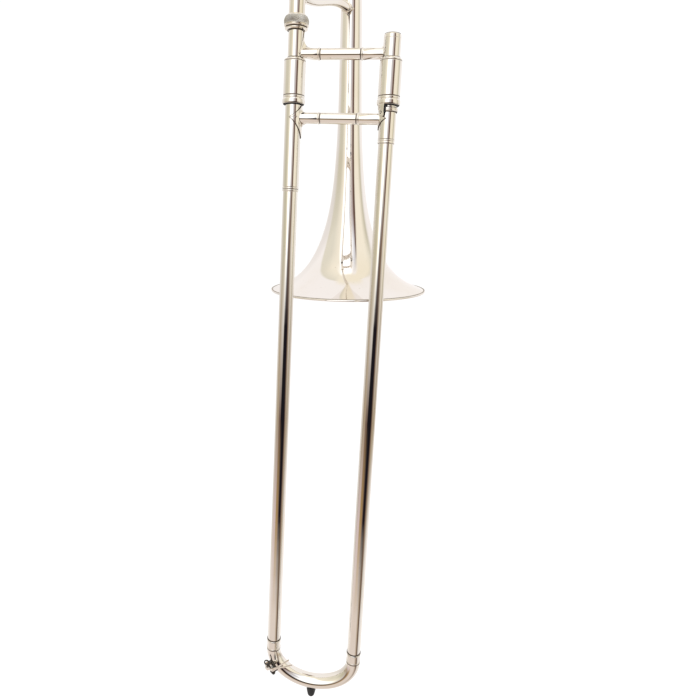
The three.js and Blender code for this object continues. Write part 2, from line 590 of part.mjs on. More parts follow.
// The nut turns on the tenon's shoulder and holds the two sections together.
function bellLockNut() {
  const boreLow = TENON_R + 1;
  const boreHigh = NECK_R + 1.1 + GAP;
  add(slideGroups.bell_side, 'bell_lock_nut', turned([
    [boreLow, NUT_Z - 1], [NUT_R - 1, NUT_Z - 1], [NUT_R - 0.2, NUT_Z + 0.8], [NUT_R, NUT_Z + 5],
    [NUT_R - 0.5, NUT_TOP_Z - 3.2], [NUT_R - 2, NUT_TOP_Z - 1], [NECK_R + 1, NUT_TOP_Z],
    [NECK_R + GAP, NUT_TOP_Z], [NECK_R + GAP, NUT_TOP_Z - 2], [boreHigh, NUT_TOP_Z - 3],
    [boreHigh, NUT_Z + 1], [boreLow, NUT_Z + 1],
  ], 20), 'knurl');
}

bell();
neck();
tuningLegs();
bellBrace();
tuningSlide();
innerSlide();
tenonAndReceiver();
bellLockNut();
slideBraces();
slideLock();
outerSlide();
slideBow();
waterKey();

export default group;
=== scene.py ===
"""A nickel-plated tenor trombone hanging bell down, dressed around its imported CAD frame.

Sizes are in millimetres in this script, and become metres when a mesh is made.
"""

import json
from math import atan2, cos, degrees, exp, hypot, pi, radians, sin, sqrt

import bmesh
import bpy
from mathutils import Matrix, Vector


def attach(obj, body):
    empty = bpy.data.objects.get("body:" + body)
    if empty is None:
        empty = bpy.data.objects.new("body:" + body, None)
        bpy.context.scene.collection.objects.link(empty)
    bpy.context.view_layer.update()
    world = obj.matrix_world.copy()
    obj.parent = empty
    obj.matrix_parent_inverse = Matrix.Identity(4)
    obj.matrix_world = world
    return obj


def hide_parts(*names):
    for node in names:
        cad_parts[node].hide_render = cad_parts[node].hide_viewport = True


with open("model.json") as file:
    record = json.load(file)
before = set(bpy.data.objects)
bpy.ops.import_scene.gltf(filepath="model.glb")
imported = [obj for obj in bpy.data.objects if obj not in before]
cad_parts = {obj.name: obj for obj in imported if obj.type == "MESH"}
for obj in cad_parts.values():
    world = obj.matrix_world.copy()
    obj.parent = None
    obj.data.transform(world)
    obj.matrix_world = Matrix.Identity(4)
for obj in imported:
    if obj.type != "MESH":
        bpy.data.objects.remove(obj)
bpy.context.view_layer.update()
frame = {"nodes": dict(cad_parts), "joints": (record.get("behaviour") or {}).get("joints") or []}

MM = 0.001
HERE = Matrix.Identity(4)
Z_TO_X = Matrix.Rotation(pi / 2, 4, "Y")
SIDES = ("bell_side", "mouthpiece_side")
JOINTS = {joint["name"]: joint for joint in frame["joints"]}

# Radii and heights that the CAD boxes can't give: its tubes are hollow, or its pieces joined.
GAP = 0.3
STEM_R, STEM_TAPER, STEM_TAPER_Z = 13.4, 3.8, 260
FLARE_R, FLARE_LENGTH, LIP_LENGTH = 66.2, 60, 9.6
BEAD_R = 1.4
LEG_R, LEG_BORE_R, INNER_LEG_BORE_R = 9.8, 9.4, 8.7
OVERSLEEVE_LINES = {"bell_side": (2.4,), "mouthpiece_side": (0.3, 4.7)}
NECK_R, NECK_BORE_R = 8.1, 7.4
TENON_R, TENON_TUBE_R, TENON_BORE_R = 7.1, 7.6, 5.2
RECEIVER_R = 8.5
TUBE_R, TUBE_BORE_R, INNER_TUBE_BORE_R = 7.65, 7.3, 6.35
SLEEVE_R, BARREL_BORE_R = 8.35, 9.3
BRACE_R, SPIGOT_R, SPIGOT_LENGTH = 5.6, 4.0, 8
BRACE_REACH = {"inner": {"bell_side": 26, "mouthpiece_side": 30},
               "outer": {"bell_side": 28.5, "mouthpiece_side": 31}}
BOW_R, BOW_WALL, BOW_DROP = 8.0, 0.7, 36
CROOK_R, CROOK_CENTRE_Z = 9.4, 602
BELL_BRACE_R, BELL_BRACE_NECK_Z, BELL_BRACE_STEM_Z = 5.2, 316.5, 345
NECK_JOIN_Z, NECK_RISE = 310, 60
KEY_ANGLE, KEY_PIVOT_ANGLE, KEY_PIVOT_R, NIPPLE_ANGLE = 28, 52, 12.3, 4


# Frames ----------
def frame_of(origin, x, z):
    """A matrix in millimetres with its Z along z and its X as near x as can be."""
    z = Vector(z).normalized()
    y = z.cross(Vector(x)).normalized()
    turn = Matrix((y.cross(z), y, z)).transposed()
    return Matrix.Translation(Vector(origin)) @ turn.to_4x4()


def extent(node, at=HERE):
    """Lowest and highest corner of a CAD node in the frame at, in millimetres."""
    inverse = at.inverted()
    points = [inverse @ (v.co / MM) for v in frame["nodes"][node].data.vertices]
    low, high = (Vector(f(p[i] for p in points) for i in range(3)) for f in (min, max))
    return low, high


def lifted(at, height, turn=0.0):
    """The frame at, moved up its Z and turned round it."""
    return at @ Matrix.Translation((0, 0, height)) @ Matrix.Rotation(turn, 4, "Z")


def middle(node):
    low, high = extent(node)
    return (low + high) / 2


SLIDE = {}
for side in SIDES:
    tube = middle(f"outer_tube_{side}")
    SLIDE[side] = Matrix.Translation((tube.x, tube.y, 0))
LEFT, RIGHT = (SLIDE[side].translation.x for side in SIDES)
SLIDE_Y = SLIDE["bell_side"].translation.y
SPACING = RIGHT - LEFT

BELL_AXIS = Vector(JOINTS["tuning_travel"]["axis"]).normalized()
NECK_FOOT = Vector((LEFT, SLIDE_Y, NECK_JOIN_Z))
across = NECK_FOOT - BELL_AXIS * NECK_FOOT.dot(BELL_AXIS)
LEG_SPACING = across.length
BELL = frame_of((0, 0, 0), across, BELL_AXIS)
LEG = {"bell": BELL, "neck": BELL @ Matrix.Translation((LEG_SPACING, 0, 0))}

BOW_TOP_Z = extent("bow_ferrule_bell_side")[0].z - GAP
COLLAR_LOW, COLLAR_HIGH = extent("barrel_collar", SLIDE["bell_side"])


def bow_point(turn):
    """A point on the bow's centre line, from its bell side end at 0 to the other at 180."""
    angle = radians(turn)
    return Vector((LEFT * cos(angle), SLIDE_Y, BOW_TOP_Z - BOW_DROP * sin(angle)))


key_along = Vector((-LEFT * sin(radians(KEY_ANGLE)), 0,
                    -BOW_DROP * cos(radians(KEY_ANGLE)))).normalized()
KEY = frame_of(bow_point(KEY_ANGLE), Vector((0, 1, 0)).cross(key_along), key_along)


# Meshes ----------
def rounded(outline, fillet, steps=3):
    """The outline with its corners rounded, and a support point beside each round corner."""
    points = [Vector(p) for p in outline]
    made = []
    for i, corner in enumerate(points):
        back = points[i - 1] - corner
        on = points[(i + 1) % len(points)] - corner
        flat = back.length < 1e-6 or on.length < 1e-6 or back.angle(on) > radians(170)
        if corner.x < 1e-6 or flat:
            made.append(corner)
            continue
        reach = min(fillet, 0.38 * back.length, 0.38 * on.length)
        start, end = corner + back.normalized() * reach, corner + on.normalized() * reach
        made.append(corner + back.normalized() * reach * 1.25)
        for step in range(steps + 1):
            t = step / steps
            made.append(start * (1 - t) ** 2 + corner * 2 * t * (1 - t) + end * t ** 2)
        made.append(corner + on.normalized() * reach * 1.25)
    return made


def faces_between(rings, sides):
    """Faces from each ring of points to the next. A ring is (its first point, how many)."""
    faces = []
    for j, (low, low_count) in enumerate(rings):
        high, high_count = rings[(j + 1) % len(rings)]
        for i in range(sides):
            face = [low + i % low_count, low + (i + 1) % low_count, high + (i + 1) % high_count,
                    high + i % high_count]
            face = list(dict.fromkeys(face))
            if len(face) > 2:
                faces.append(face)
    return faces


def lathe(outline, sides=96, relief=None):
    """Vertices and faces of a closed [radius, height] outline turned round Z.

    relief(radius, height, angle) gives a new radius where the surface isn't smooth.
    """
    points, rings = [], []
    for radius, height in outline:
        count = 1 if radius < 1e-6 else sides
        rings.append((len(points), count))
        for i in range(count):
            angle = 2 * pi * i / sides
            r = relief(radius, height, angle) if relief else radius
            points.append(Vector((r * cos(angle), r * sin(angle), height)))
    return points, faces_between(rings, sides)


def carried(path):
    """Right angle pairs (u, v) carried along a path without twist, one for each point."""
    tangents = [(path[min(i + 1, len(path) - 1)] - path[max(i - 1, 0)]).normalized()
                for i in range(len(path))]
    u = tangents[0].orthogonal().normalized()
    pairs = []
    for tangent in tangents:
        u = (u - tangent * u.dot(tangent)).normalized()
        pairs.append((u, tangent.cross(u)))
    return pairs


def swept(path, outline, sides=48):
    """A tube along a path. outline is a list of (radius, index into the path), closed on itself,
    or open with the radius 0 at both ends for a solid bar."""
    pairs = carried(path)
    points, rings = [], []
    for radius, place in outline:
        u, v = pairs[place]
        count = 1 if radius < 1e-6 else sides
        rings.append((len(points), count))
        for i in range(count):
            angle = 2 * pi * i / sides
            points.append(path[place] + (u * cos(angle) + v * sin(angle)) * radius)
    return points, faces_between(rings, sides)


def swept_pipe(path, radius, bore):
    last = len(path) - 1
    outside = [(radius, i) for i in range(last + 1)]
    inside = [(bore, i) for i in range(last, -1, -1)]
    return swept(path, outside + inside)


def swept_rod(path, radius, sides=24):
    last = len(path) - 1
    body = [(radius, i) for i in range(last + 1)]
    return swept(path, [(0, 0)] + body + [(0, last)], sides)


def bezier(a, b, c, d, count=48):
    steps = [i / count for i in range(count + 1)]
    return [a * (1 - t) ** 3 + b * 3 * t * (1 - t) ** 2 + c * 3 * t ** 2 * (1 - t) + d * t ** 3
            for t in steps]


def plate(outline, low, high):
    """A flat plate with an outline of [x, y] points, from low to high along Z."""
    count = len(outline)
    points = [Vector((x, y, z)) for z in (low, high) for x, y in outline]
    faces = [list(range(count))[::-1], list(range(count, 2 * count))]
    faces += [[i, (i + 1) % count, count + (i + 1) % count, count + i] for i in range(count)]
    return points, faces


def strip(line, width):
    """The outline of a bent strip of even width along a line of [x, y] points, with straight ends.
    """
    points = [Vector(p) for p in line]
    sides = ([], [])
    for i, point in enumerate(points):
        along = (points[min(i + 1, len(points) - 1)] - points[max(i - 1, 0)]).normalized()
        out = Vector((-along.y, along.x)) * width / 2
        sides[0].append(point - out)
        sides[1].append(point + out)
    return sides[0] + sides[1][::-1]


def smooth_line(line, count=8):
    """A Catmull-Rom curve through the points of a line."""
    points = [Vector(p) for p in line]
    ends = [2 * points[0] - points[1], *points, 2 * points[-1] - points[-2]]
    made = []
    for a, b, c, d in zip(ends, ends[1:], ends[2:], ends[3:]):
        for i in range(count):
            t = i / count
            made.append(0.5 * (2 * b + (c - a) * t + (2 * a - 5 * b + 4 * c - d) * t ** 2
                               + (3 * b - a - 3 * c + d) * t ** 3))
    return made + [points[-1]]


def moved(shape, matrix):
    points, faces = shape
    return [matrix @ p for p in points], faces


def together(*shapes):
    points, faces = [], []
    for some_points, some_faces in shapes:
        faces += [[i + len(points) for i in face] for face in some_faces]
        points += some_points
    return points, faces


def piece(name, shape, at, body, finish, replaces=(), bevel=0.0, sharp=42):
    """Makes an object of a shape, places it, and hands it to the frame."""
    points, faces = shape
    mesh = bpy.data.meshes.new(name)
    mesh.from_pydata([at @ p * MM for p in points], [], faces)
    work = bmesh.new()
    work.from_mesh(mesh)
    bmesh.ops.recalc_face_normals(work, faces=work.faces)
    if bevel:
        edges = [e for e in work.edges if e.is_manifold and e.calc_face_angle() > radians(30)]
        bmesh.ops.bevel(work, geom=edges, offset=bevel * MM, segments=2, affect="EDGES",
                        profile=0.5, clamp_overlap=True)
    work.to_mesh(mesh)
    work.free()
    mesh.shade_smooth()
    mesh.set_sharp_from_angle(angle=radians(sharp))
    material, slot = FINISHES[finish]
    mesh.materials.append(material)
    made = bpy.data.objects.new(name, mesh)
    bpy.context.scene.collection.objects.link(made)
    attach(made, body)
    if replaces:
        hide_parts(*replaces)
    return made


# Materials ----------
class Nodes:
    """Adds and links the shader nodes of a material or of the world."""

    def __init__(self, owner, shader="Principled BSDF"):
        owner.use_nodes = True
        self.tree = owner.node_tree
        self.shader = self.tree.nodes[shader]
        self.coordinates = self.add("ShaderNodeTexCoord").outputs
        self.place = self.coordinates["Object"]

    def add(self, kind, **settings):
        node = self.tree.nodes.new(kind)
        for key, value in settings.items():
            if key in node.inputs:
                self.put(node.inputs[key], value)
            else:
                setattr(node, key, value)
        return node

    def put(self, socket, value):
        if isinstance(value, bpy.types.NodeSocket):
            self.tree.links.new(value, socket)
        else:
            socket.default_value = value

    def set(self, socket, value):
        self.put(self.shader.inputs[socket], value)

    def fill(self, node, values):
        """Puts values in a node's first inputs, and returns its first output."""
        for socket, value in zip(list(node.inputs), values):
            self.put(socket, value)
        return node.outputs[0]

    def sum(self, operation, *values):
        return self.fill(self.add("ShaderNodeMath", operation=operation), values)

    def noise(self, scale, detail=3.0, stretch=(1, 1, 1), roughness=0.5):
        place = self.add("ShaderNodeMapping", Vector=self.place, Scale=stretch).outputs[0]
        return self.add("ShaderNodeTexNoise", Vector=place, Scale=scale, Detail=detail,
                        Roughness=roughness).outputs["Fac"]

    def spread(self, value, low, high, new_low, new_high):
        node = self.add("ShaderNodeMapRange", interpolation_type="SMOOTHSTEP")
        return self.fill(node, (value, low, high, new_low, new_high))

    def blend(self, factor, first, second):
        node = self.add("ShaderNodeMix", data_type="RGBA")
        self.put(node.inputs[0], factor)
        self.put(node.inputs[6], (*first, 1) if isinstance(first, tuple) else first)
        self.put(node.inputs[7], (*second, 1) if isinstance(second, tuple) else second)
        return node.outputs[2]

    def bump(self, height, distance, strength=1.0, under=None):
        node = self.add("ShaderNodeBump", Height=height, Distance=distance, Strength=strength)
        if under is not None:
            self.put(node.inputs["Normal"], under)
        return node.outputs["Normal"]


def plated(name, bright, worn, low, high, waves=0.00002, hazes=0.5):
    """Polished plating: yellow haze in patches, smears in its gloss, wavy sheet under it."""
    material = bpy.data.materials.new(name)
    n = Nodes(material)
    haze = n.spread(n.noise(14, 5), 0.42, 0.72, 0.0, hazes)
    specks = n.spread(n.noise(420, 2), 0.70, 0.78, 0.0, 0.35)
    n.set("Base Color", n.blend(specks, n.blend(haze, bright, worn), (0.45, 0.38, 0.28)))
    n.set("Metallic", 1)
    n.set("Roughness", n.spread(n.noise(26, 6, (1, 1, 0.35)), 0.35, 0.7, low, high))
    sheet = n.bump(n.noise(38, 1.5), waves * 3)
    n.set("Normal", n.bump(n.noise(900, 2, (1, 1, 0.06)), 0.0000012, 1.0, sheet))
    return material


def mottled(name, colours, patches, gloss, grain, depth, metallic=0):
    """A finish that goes between two colours in patches.

    patches is the noise's scale and detail, and, for patches with an edge, where on the noise
    they start and end and how far they go. gloss is a noise's scale and detail and the two
    roughnesses it gives. grain is the noise that gives the bumps, depth metres deep.
    """
    material = bpy.data.materials.new(name)
    n = Nodes(material)
    mix = n.noise(*patches[:2])
    if patches[2:]:
        mix = n.spread(mix, patches[2], patches[3], 0.0, patches[4])
    n.set("Base Color", n.blend(mix, *colours))
    n.set("Metallic", metallic)
    n.set("Roughness", n.spread(n.noise(*gloss[:2]), 0.3, 0.7, *gloss[2:]))
    n.set("Normal", n.bump(n.noise(*grain), depth))
    return material


def cork():
    material = bpy.data.materials.new("cork")
    n = Nodes(material)
    cells = n.add("ShaderNodeTexVoronoi", Vector=n.place, Scale=900).outputs["Distance"]
    dark = n.spread(n.noise(500, 4), 0.58, 0.72, 0.0, 1.0)
    light = n.blend(cells, (0.42, 0.25, 0.12), (0.56, 0.38, 0.20))
    n.set("Base Color", n.blend(dark, light, (0.16, 0.08, 0.04)))
    n.set("Roughness", 0.9)
    n.set("Normal", n.bump(cells, 0.0001))
    return material


def grime(name, *colours):
    return mottled(name, colours, (300, 4), (500, 2, 0.45, 0.8), (1500, 2), 0.00005)


# Each finish's material, and the record's slot that it is taken from.
FINISHES = {
    "grime": (grime("seam_tarnish", (0.02, 0.014, 0.010), (0.10, 0.065, 0.04)), "nickel_plate"),
    "tarnish": (grime("rim_tarnish", (0.20, 0.16, 0.12), (0.42, 0.36, 0.29)), "bell_nickel"),
    "nickel": (plated("nickel_plate", (0.87, 0.84, 0.79), (0.80, 0.73, 0.60), 0.015, 0.06),
               "nickel_plate"),
    "bell": (plated("bell_nickel", (0.90, 0.87, 0.84), (0.84, 0.78, 0.68), 0.02, 0.07, 0.00003),
             "bell_nickel"),
    "chrome": (plated("slide_chrome", (0.78, 0.79, 0.80), (0.74, 0.75, 0.75), 0.02, 0.05,
                      0.000008, 0.3), "slide_chrome"),
    "knurl": (mottled("knurled_nickel", ((0.66, 0.65, 0.62), (0.40, 0.38, 0.35)),
                      (60, 4, 0.35, 0.7, 0.8), (120, 3, 0.22, 0.4), (1500, 2), 0.00002, 1),
              "knurled_nickel"),
    "steel": (mottled("spring_steel", ((0.045, 0.042, 0.04), (0.14, 0.13, 0.12)), (90, 4),
                      (200, 3, 0.22, 0.45), (1200, 2, (1, 1, 0.2)), 0.00001, 1), "spring_steel"),
    "cork": (cork(), "cork"),
    "rubber": (mottled("tip_rubber", ((0.012, 0.012, 0.014), (0.045, 0.042, 0.04)),
                       (240, 5, 0.55, 0.75, 1.0), (120, 3, 0.5, 0.75), (900, 4), 0.00008),
               "tip_rubber"),
}


# Pipes and rings ----------
def pipe_outline(bore, radius, foot, top):
    return [(bore, foot), (radius, foot), (radius, top), (bore, top)]


def bead(outline_r, height, width, proud, steps=8):
    """The points of a half round ring standing proud of a radius, from its foot to its top."""
    return [(outline_r + proud * sin(pi * i / steps), height - width / 2 * cos(pi * i / steps))
            for i in range(steps + 1)]


def turned(name, outline, at, body, finish="nickel", replaces=(), fillet=0.25, sides=96,
           relief=None):
    shape = lathe(rounded(outline, fillet) if fillet else outline, sides, relief)
    return piece(name, shape, at, body, finish, replaces)


def ferrule(bore, radius, foot, top, bead_at, width, proud, plain):
    """A sleeve with a bead near each end. plain is where its plain middle starts."""
    return [(bore, foot), *bead(radius, foot + bead_at, width, proud), (radius, foot + plain),
            (radius, top - plain), *bead(radius, top - bead_at, width, proud), (bore, top)]


def turned_node(node, outline, at, body, fillet=0.25, finish="nickel", sides=96):
    """A turned piece in the place of one CAD node."""
    turned(f"{node}_turned", outline, at, body, finish, [node], fillet, sides)


def pipe_for(node, at, body, bore, finish="nickel", fillet=0.2):
    """A smooth pipe in the place of a plain CAD pipe."""
    low, high = extent(node, at)
    outline = pipe_outline(bore, high.x, low.z, high.z)
    turned_node(node, outline, at, body, fillet, finish)


# Bell section ----------
def bell_radius(height):
    tail = extent("bell_stem", BELL)[1].z
    stem = STEM_R - STEM_TAPER * (max(0, height - STEM_TAPER_Z) / (tail - STEM_TAPER_Z)) ** 2
    mouth = extent("bell_rim_bead", BELL)[1].x
    lip = (mouth - STEM_R - FLARE_R) * exp(-height / LIP_LENGTH)
    return stem + FLARE_R * exp(-height / FLARE_LENGTH) + lip


def make_bell():
    mouth_r = extent("bell_rim_bead", BELL)[1].x
    low, high = extent("bell_rim_bead", BELL)
    tail = extent("bell_stem", BELL)[1].z
    rings, foot = 110, 0.25
    heights = [foot + (tail - foot) * (i / rings) ** 2.2 for i in range(rings + 1)]
    outside = [(min(bell_radius(z), mouth_r - BEAD_R), z) for z in heights]
    inside = [(r - 0.7, z) for r, z in outside][::-1]
    piece("bell_sheet", lathe(outside + inside, 192), BELL, "bell_section", "bell",
          ["bell_flare", "bell_stem"])
    centre = (low.z + high.z) / 2
    ring = [(mouth_r - BEAD_R + BEAD_R * cos(a), centre + BEAD_R * sin(a))
            for a in (2 * pi * i / 16 for i in range(16))]
    piece("bell_rim_roll", lathe(ring, 192), BELL, "bell_section", "bell", ["bell_rim_bead"])
    corner = [(mouth_r - 1.15, centre + 0.95), (mouth_r - 0.55, centre + 1.35),
              (mouth_r - 1.6, centre + 1.75), (mouth_r - 2.2, centre + 1.3)]
    piece("bell_rim_seam", lathe(corner, 192), BELL, "bell_section", "tarnish")


def make_tuning_legs():
    for side, at in LEG.items():
        node = f"tuning_outer_leg_{side}"
        low, high = extent(node, at)
        outline = [(LEG_BORE_R, low.z), (LEG_R, low.z), (LEG_R, high.z - 4.4),
                   *bead(LEG_R, high.z - 2.4, 3.6, 0.75), (LEG_R, high.z), (LEG_BORE_R, high.z)]
        turned_node(node, outline, at, "bell_section")
        node = f"{side}_ferrule"
        low, high = extent(node, at)
        bore, body_r = LEG_R + 0.4, high.x - 0.6
        outline = ferrule(bore, body_r, low.z, high.z, 1.6, 2.6, 0.6, 4)
        turned_node(node, outline, at, "bell_section")


FOOT_ANGLES = [2 * pi * i / 128 for i in range(128)]
STAR_POWER = 0.85    # below 1 the foot's four sides curve inwards between its points
FOOT_PLATE = 0.95    # from the pipe to the face of a foot's plate


def round_ring(x, radius):
    """A ring of points round a bar along X."""
    return [Vector((x, radius * sin(a), radius * cos(a))) for a in FOOT_ANGLES]


def star_reach(angle, star, bar_r):
    tall = star[0] if cos(angle) > 0 else star[1]
    share = (abs(cos(angle)) / tall) ** STAR_POWER + (abs(sin(angle)) / star[2]) ** STAR_POWER
    return max(share ** (-1 / STAR_POWER), bar_r + 0.8)


def solder_line(pipe_r, star, low_cut=None, high_cut=None):
    """The dark line of solder and old polish round a brace foot's edge, on an upright pipe."""
    line = []
    for i in range(193):
        angle = 2 * pi * i / 192
        far = star_reach(angle, star, BRACE_R) + 0.12
        turn = far * sin(angle) / (pipe_r + FOOT_PLATE)
        z = far * cos(angle)
        if low_cut:
            z = max(z, low_cut[1] + 0.1)
        if high_cut:
            z = min(z, high_cut[1] - 0.1)
        line.append(Vector(((pipe_r + 0.42) * cos(turn), (pipe_r + 0.42) * sin(turn), z)))
    return swept_rod(line, 0.36, 8)


def foot_of_brace(pipe_r, bar_r, star, fillet):
    """Rings of a foot on an upright pipe on Z, up to where it has become a round bar along X.

    The foot is a thin plate that hugs the pipe and has four points. star is how far they reach
    up, down and sideways from the bar's axis, measured on the pipe, and fillet the size of the
    fillet between plate and bar above, below and beside it.
    """
    inner, outer = pipe_r + GAP / 2, pipe_r + FOOT_PLATE

    def on_pipe(radius, angle, far):
        turn = far * sin(angle) / outer
        return Vector((radius * cos(turn), radius * sin(turn), far * cos(angle)))

    def reach(angle):
        return star_reach(angle, star, bar_r)

    def fillet_at(angle):
        tall = fillet[0] if cos(angle) > 0 else fillet[1]
        return min(fillet[2] + (tall - fillet[2]) * abs(cos(angle)) ** 6,
                   reach(angle) - bar_r - 0.4)

    rings = [[on_pipe(inner, a, reach(a) * share) for a in FOOT_ANGLES]
             for share in (0.3, 0.7, 0.98, 1.0)]
    rings += [[on_pipe(outer - drop, a, reach(a) - cut) for a in FOOT_ANGLES] for drop,
              cut in ((0.3, 0.0), (0.05, 0.1), (0.0, 0.3))]
    rings.append([on_pipe(outer, a, (reach(a) - 0.3 + bar_r + fillet_at(a)) / 2)
                  for a in FOOT_ANGLES])
    for level in range(13):
        t = level / 12
        ring = []
        for a in FOOT_ANGLES:
            size = fillet_at(a)
            y, z = bar_r * sin(a), bar_r * cos(a)
            root = Vector((sqrt(outer ** 2 - y ** 2), y, z))
            start, end = on_pipe(outer, a, bar_r + size), root + Vector((size, 0, 0))
            near, held = start.lerp(root, 0.6), end.lerp(root, 0.6)
            near.xy = near.xy.normalized() * outer
            ring.append(start * (1 - t) ** 3 + near * 3 * t * (1 - t) ** 2
                        + held * 3 * t ** 2 * (1 - t) + end * t ** 3)
        rings.append(ring)
    far = outer + max(fillet) + 0.5
    rings.append(round_ring(far, bar_r))
    return rings


def brace_socket(pipe_r, reach, star, fillet, low_cut=None, high_cut=None):
    """The foot of a slide brace with its socket: a bead at the end, and a bore for the bar."""
    rings = foot_of_brace(pipe_r, BRACE_R, star, fillet)
    bore = SPIGOT_R + 0.35
    sleeve = [(reach - 3.4, BRACE_R), (reach - 3.0, BRACE_R - 0.15),
              *[(x, r) for r, x in bead(BRACE_R - 0.1, reach - 1.7, 1.9, 0.55)],
              (reach - 0.6, BRACE_R - 0.1), (reach - 0.5, BRACE_R - 0.5), (reach, BRACE_R - 0.7),
              (reach, bore), (reach - SPIGOT_LENGTH - 1, bore), (reach - SPIGOT_LENGTH - 1, 1.0)]
    for x, r in sleeve:
        rings.append(round_ring(x, r))
    return skinned(rings, low_cut, high_cut)


def skinned(rings, low_cut=None, high_cut=None):
    """A closed skin over rings of points. A cut (radius, height) keeps what lies within that
    radius of the upright pipe above the height, or below it for a high cut."""
    for ring in rings:
        for p in ring:
            out = hypot(p.x, p.y)
            if low_cut and out < low_cut[0]:
                p.z = max(p.z, low_cut[1])
            if high_cut and out < high_cut[0]:
                p.z = min(p.z, high_cut[1])
    count = len(rings[0])
    points = [p for ring in rings for p in ring]
    faces = []
    for j in range(len(rings) - 1):
        for i in range(count):
            k = (i + 1) % count
            faces.append([j * count + i, j * count + k, (j + 1) * count + k, (j + 1) * count + i])
    for ring, start in ((rings[0], 0), (rings[-1], len(rings) * count - count)):
        centre = len(points)
        points.append(sum(ring, Vector()) / count)
        faces += [[start + i, start + (i + 1) % count, centre] for i in range(count)]
    return points, faces


def bar_between(name, node, height, bar_r, pipe_r, body):
    """A round bar between the two legs of the tuning slide, with a foot on each leg."""
    shapes = []
    for at, turn in ((LEG["bell"], 0), (LEG["neck"], pi)):
        rings = foot_of_brace(pipe_r, bar_r, (bar_r + 4, bar_r + 4, bar_r + 4), (1.5, 1.5, 1.5))
        x = rings[-1][0].x
        for dx, r in ((2.0, bar_r), (2.3, bar_r + 0.5), (3.4, bar_r + 0.6), (3.9, bar_r),
                      (LEG_SPACING / 2 - x, bar_r)):
            rings.append(round_ring(x + dx, r))
        place = lifted(at, height, turn)
        points, faces = skinned(rings)
        faces = [face for face in faces if len(points) - 1 not in face]
        shapes.append(moved((points, faces), place))
    piece(name, together(*shapes), HERE, body, "nickel", [node])


def make_neck():
    top = extent("neckpipe", BELL)[1].z
    path = bezier(NECK_FOOT + Vector((0, 0, GAP)), NECK_FOOT + Vector((0, 0, GAP + NECK_RISE)),
                  LEG["neck"] @ Vector((0, 0, top - NECK_RISE)), LEG["neck"] @ Vector((0, 0, top)))
    piece("neckpipe_drawn", swept_pipe(path, NECK_R, NECK_BORE_R), HERE, "bell_section", "nickel",
          ["neckpipe"])
    at = SLIDE["bell_side"]
    low, high = extent("bell_receiver", at)
    shoulder = high.x
    outline = [(TENON_R + 0.2, low.z), (shoulder, low.z), (shoulder, low.z + 5.4),
               (NECK_R, low.z + 6.2), (NECK_R, high.z - 3.2), *bead(NECK_R, high.z - 1.8, 2.4, 0.5),
               (NECK_R, high.z), (TENON_R + 0.2, high.z)]
    turned_node("bell_receiver", outline, at, "bell_section")


def make_bell_brace():
    neck_end = LEG_SPACING - NECK_R - 3.4
    stem_end = STEM_R + 3.6
    path = bezier(Vector((neck_end + 3, 0, BELL_BRACE_NECK_Z)),
                  Vector((neck_end - 45, 0, BELL_BRACE_NECK_Z)),
                  Vector((stem_end + 55, 0, BELL_BRACE_STEM_Z)),
                  Vector((stem_end - 3, 0, BELL_BRACE_STEM_Z)))
    piece("bell_brace_drawn", swept_rod(path, BELL_BRACE_R, 48), BELL, "bell_section", "nickel",
          ["bell_brace_bar"])
    ends = (("stem", BELL, bell_radius(BELL_BRACE_STEM_Z), BELL_BRACE_STEM_Z, 0),
            ("neck", LEG["neck"], NECK_R + 0.9, BELL_BRACE_NECK_Z, pi))
    for end, at, pipe_r, height, turn in ends:
        place = lifted(at, height, turn)
        piece(f"bell_brace_foot_{end}", diamond_foot(pipe_r, 7.6, 6.4), place, "bell_section",
              "nickel", [f"bell_brace_{end}_flange"], bevel=0.35)


def diamond_foot(pipe_r, half, boss_r):
    """A thick diamond block that hugs an upright pipe, and a short round boss on its face."""
    corners = [(0, half), (half * 0.5, half * 0.5), (half, 0), (half * 0.5, -half * 0.5)]
    corners += [(-y, -z) for y, z in corners]
    rings = []
    for share, depth in ((0.5, None), (1.0, None), (1.0, 4.2), (0.86, 4.8)):
        ring = []
        for y, z in corners:
            hug = sqrt((pipe_r + GAP / 2) ** 2 - (y * share) ** 2)
            ring.append(Vector((hug if depth is None else pipe_r + depth, y * share, z * share)))
        rings.append(ring)
    block = skinned(rings)
    outline = [(0, pipe_r + 3.8), (boss_r, pipe_r + 3.8), (boss_r, pipe_r + 6.4),
               (boss_r - 0.7, pipe_r + 7), (0, pipe_r + 7)]
    boss = moved(lathe(rounded(outline, 0.3), 64), Z_TO_X)
    return together(block, boss)


def make_tuning_slide():
    for side, at in LEG.items():
        pipe_for(f"tuning_inner_leg_{side}", at, "tuning_slide", INNER_LEG_BORE_R)
        node = f"crook_ferrule_{side}"
        low, high = extent(node, at)
        bore = INNER_LEG_BORE_R + 0.6
        body_r = high.x - 0.4
        outline = [(bore, low.z), (body_r, low.z), *bead(body_r, low.z + 1.8, 2.2, 0.5),
                   (body_r, high.z - 3), *bead(body_r, high.z - 1.5, 2.2, 0.5), (bore, high.z)]
        turned_node(node, outline, at, "tuning_slide")
    half = LEG_SPACING / 2
    foot = extent("tuning_inner_leg_bell", LEG["bell"])[1].z + GAP
    path = [Vector((0, 0, foot)), Vector((0, 0, (foot + CROOK_CENTRE_Z) / 2))]
    for i in range(65):
        angle = pi * i / 64
        path.append(Vector((half - half * cos(angle), 0, CROOK_CENTRE_Z + half * sin(angle))))
    path += [Vector((LEG_SPACING, 0, (foot + CROOK_CENTRE_Z) / 2)), Vector((LEG_SPACING, 0, foot))]
    piece("tuning_crook_drawn", swept_pipe(path, CROOK_R, CROOK_R - 0.7), BELL, "tuning_slide",
          "nickel", ["tuning_crook"])


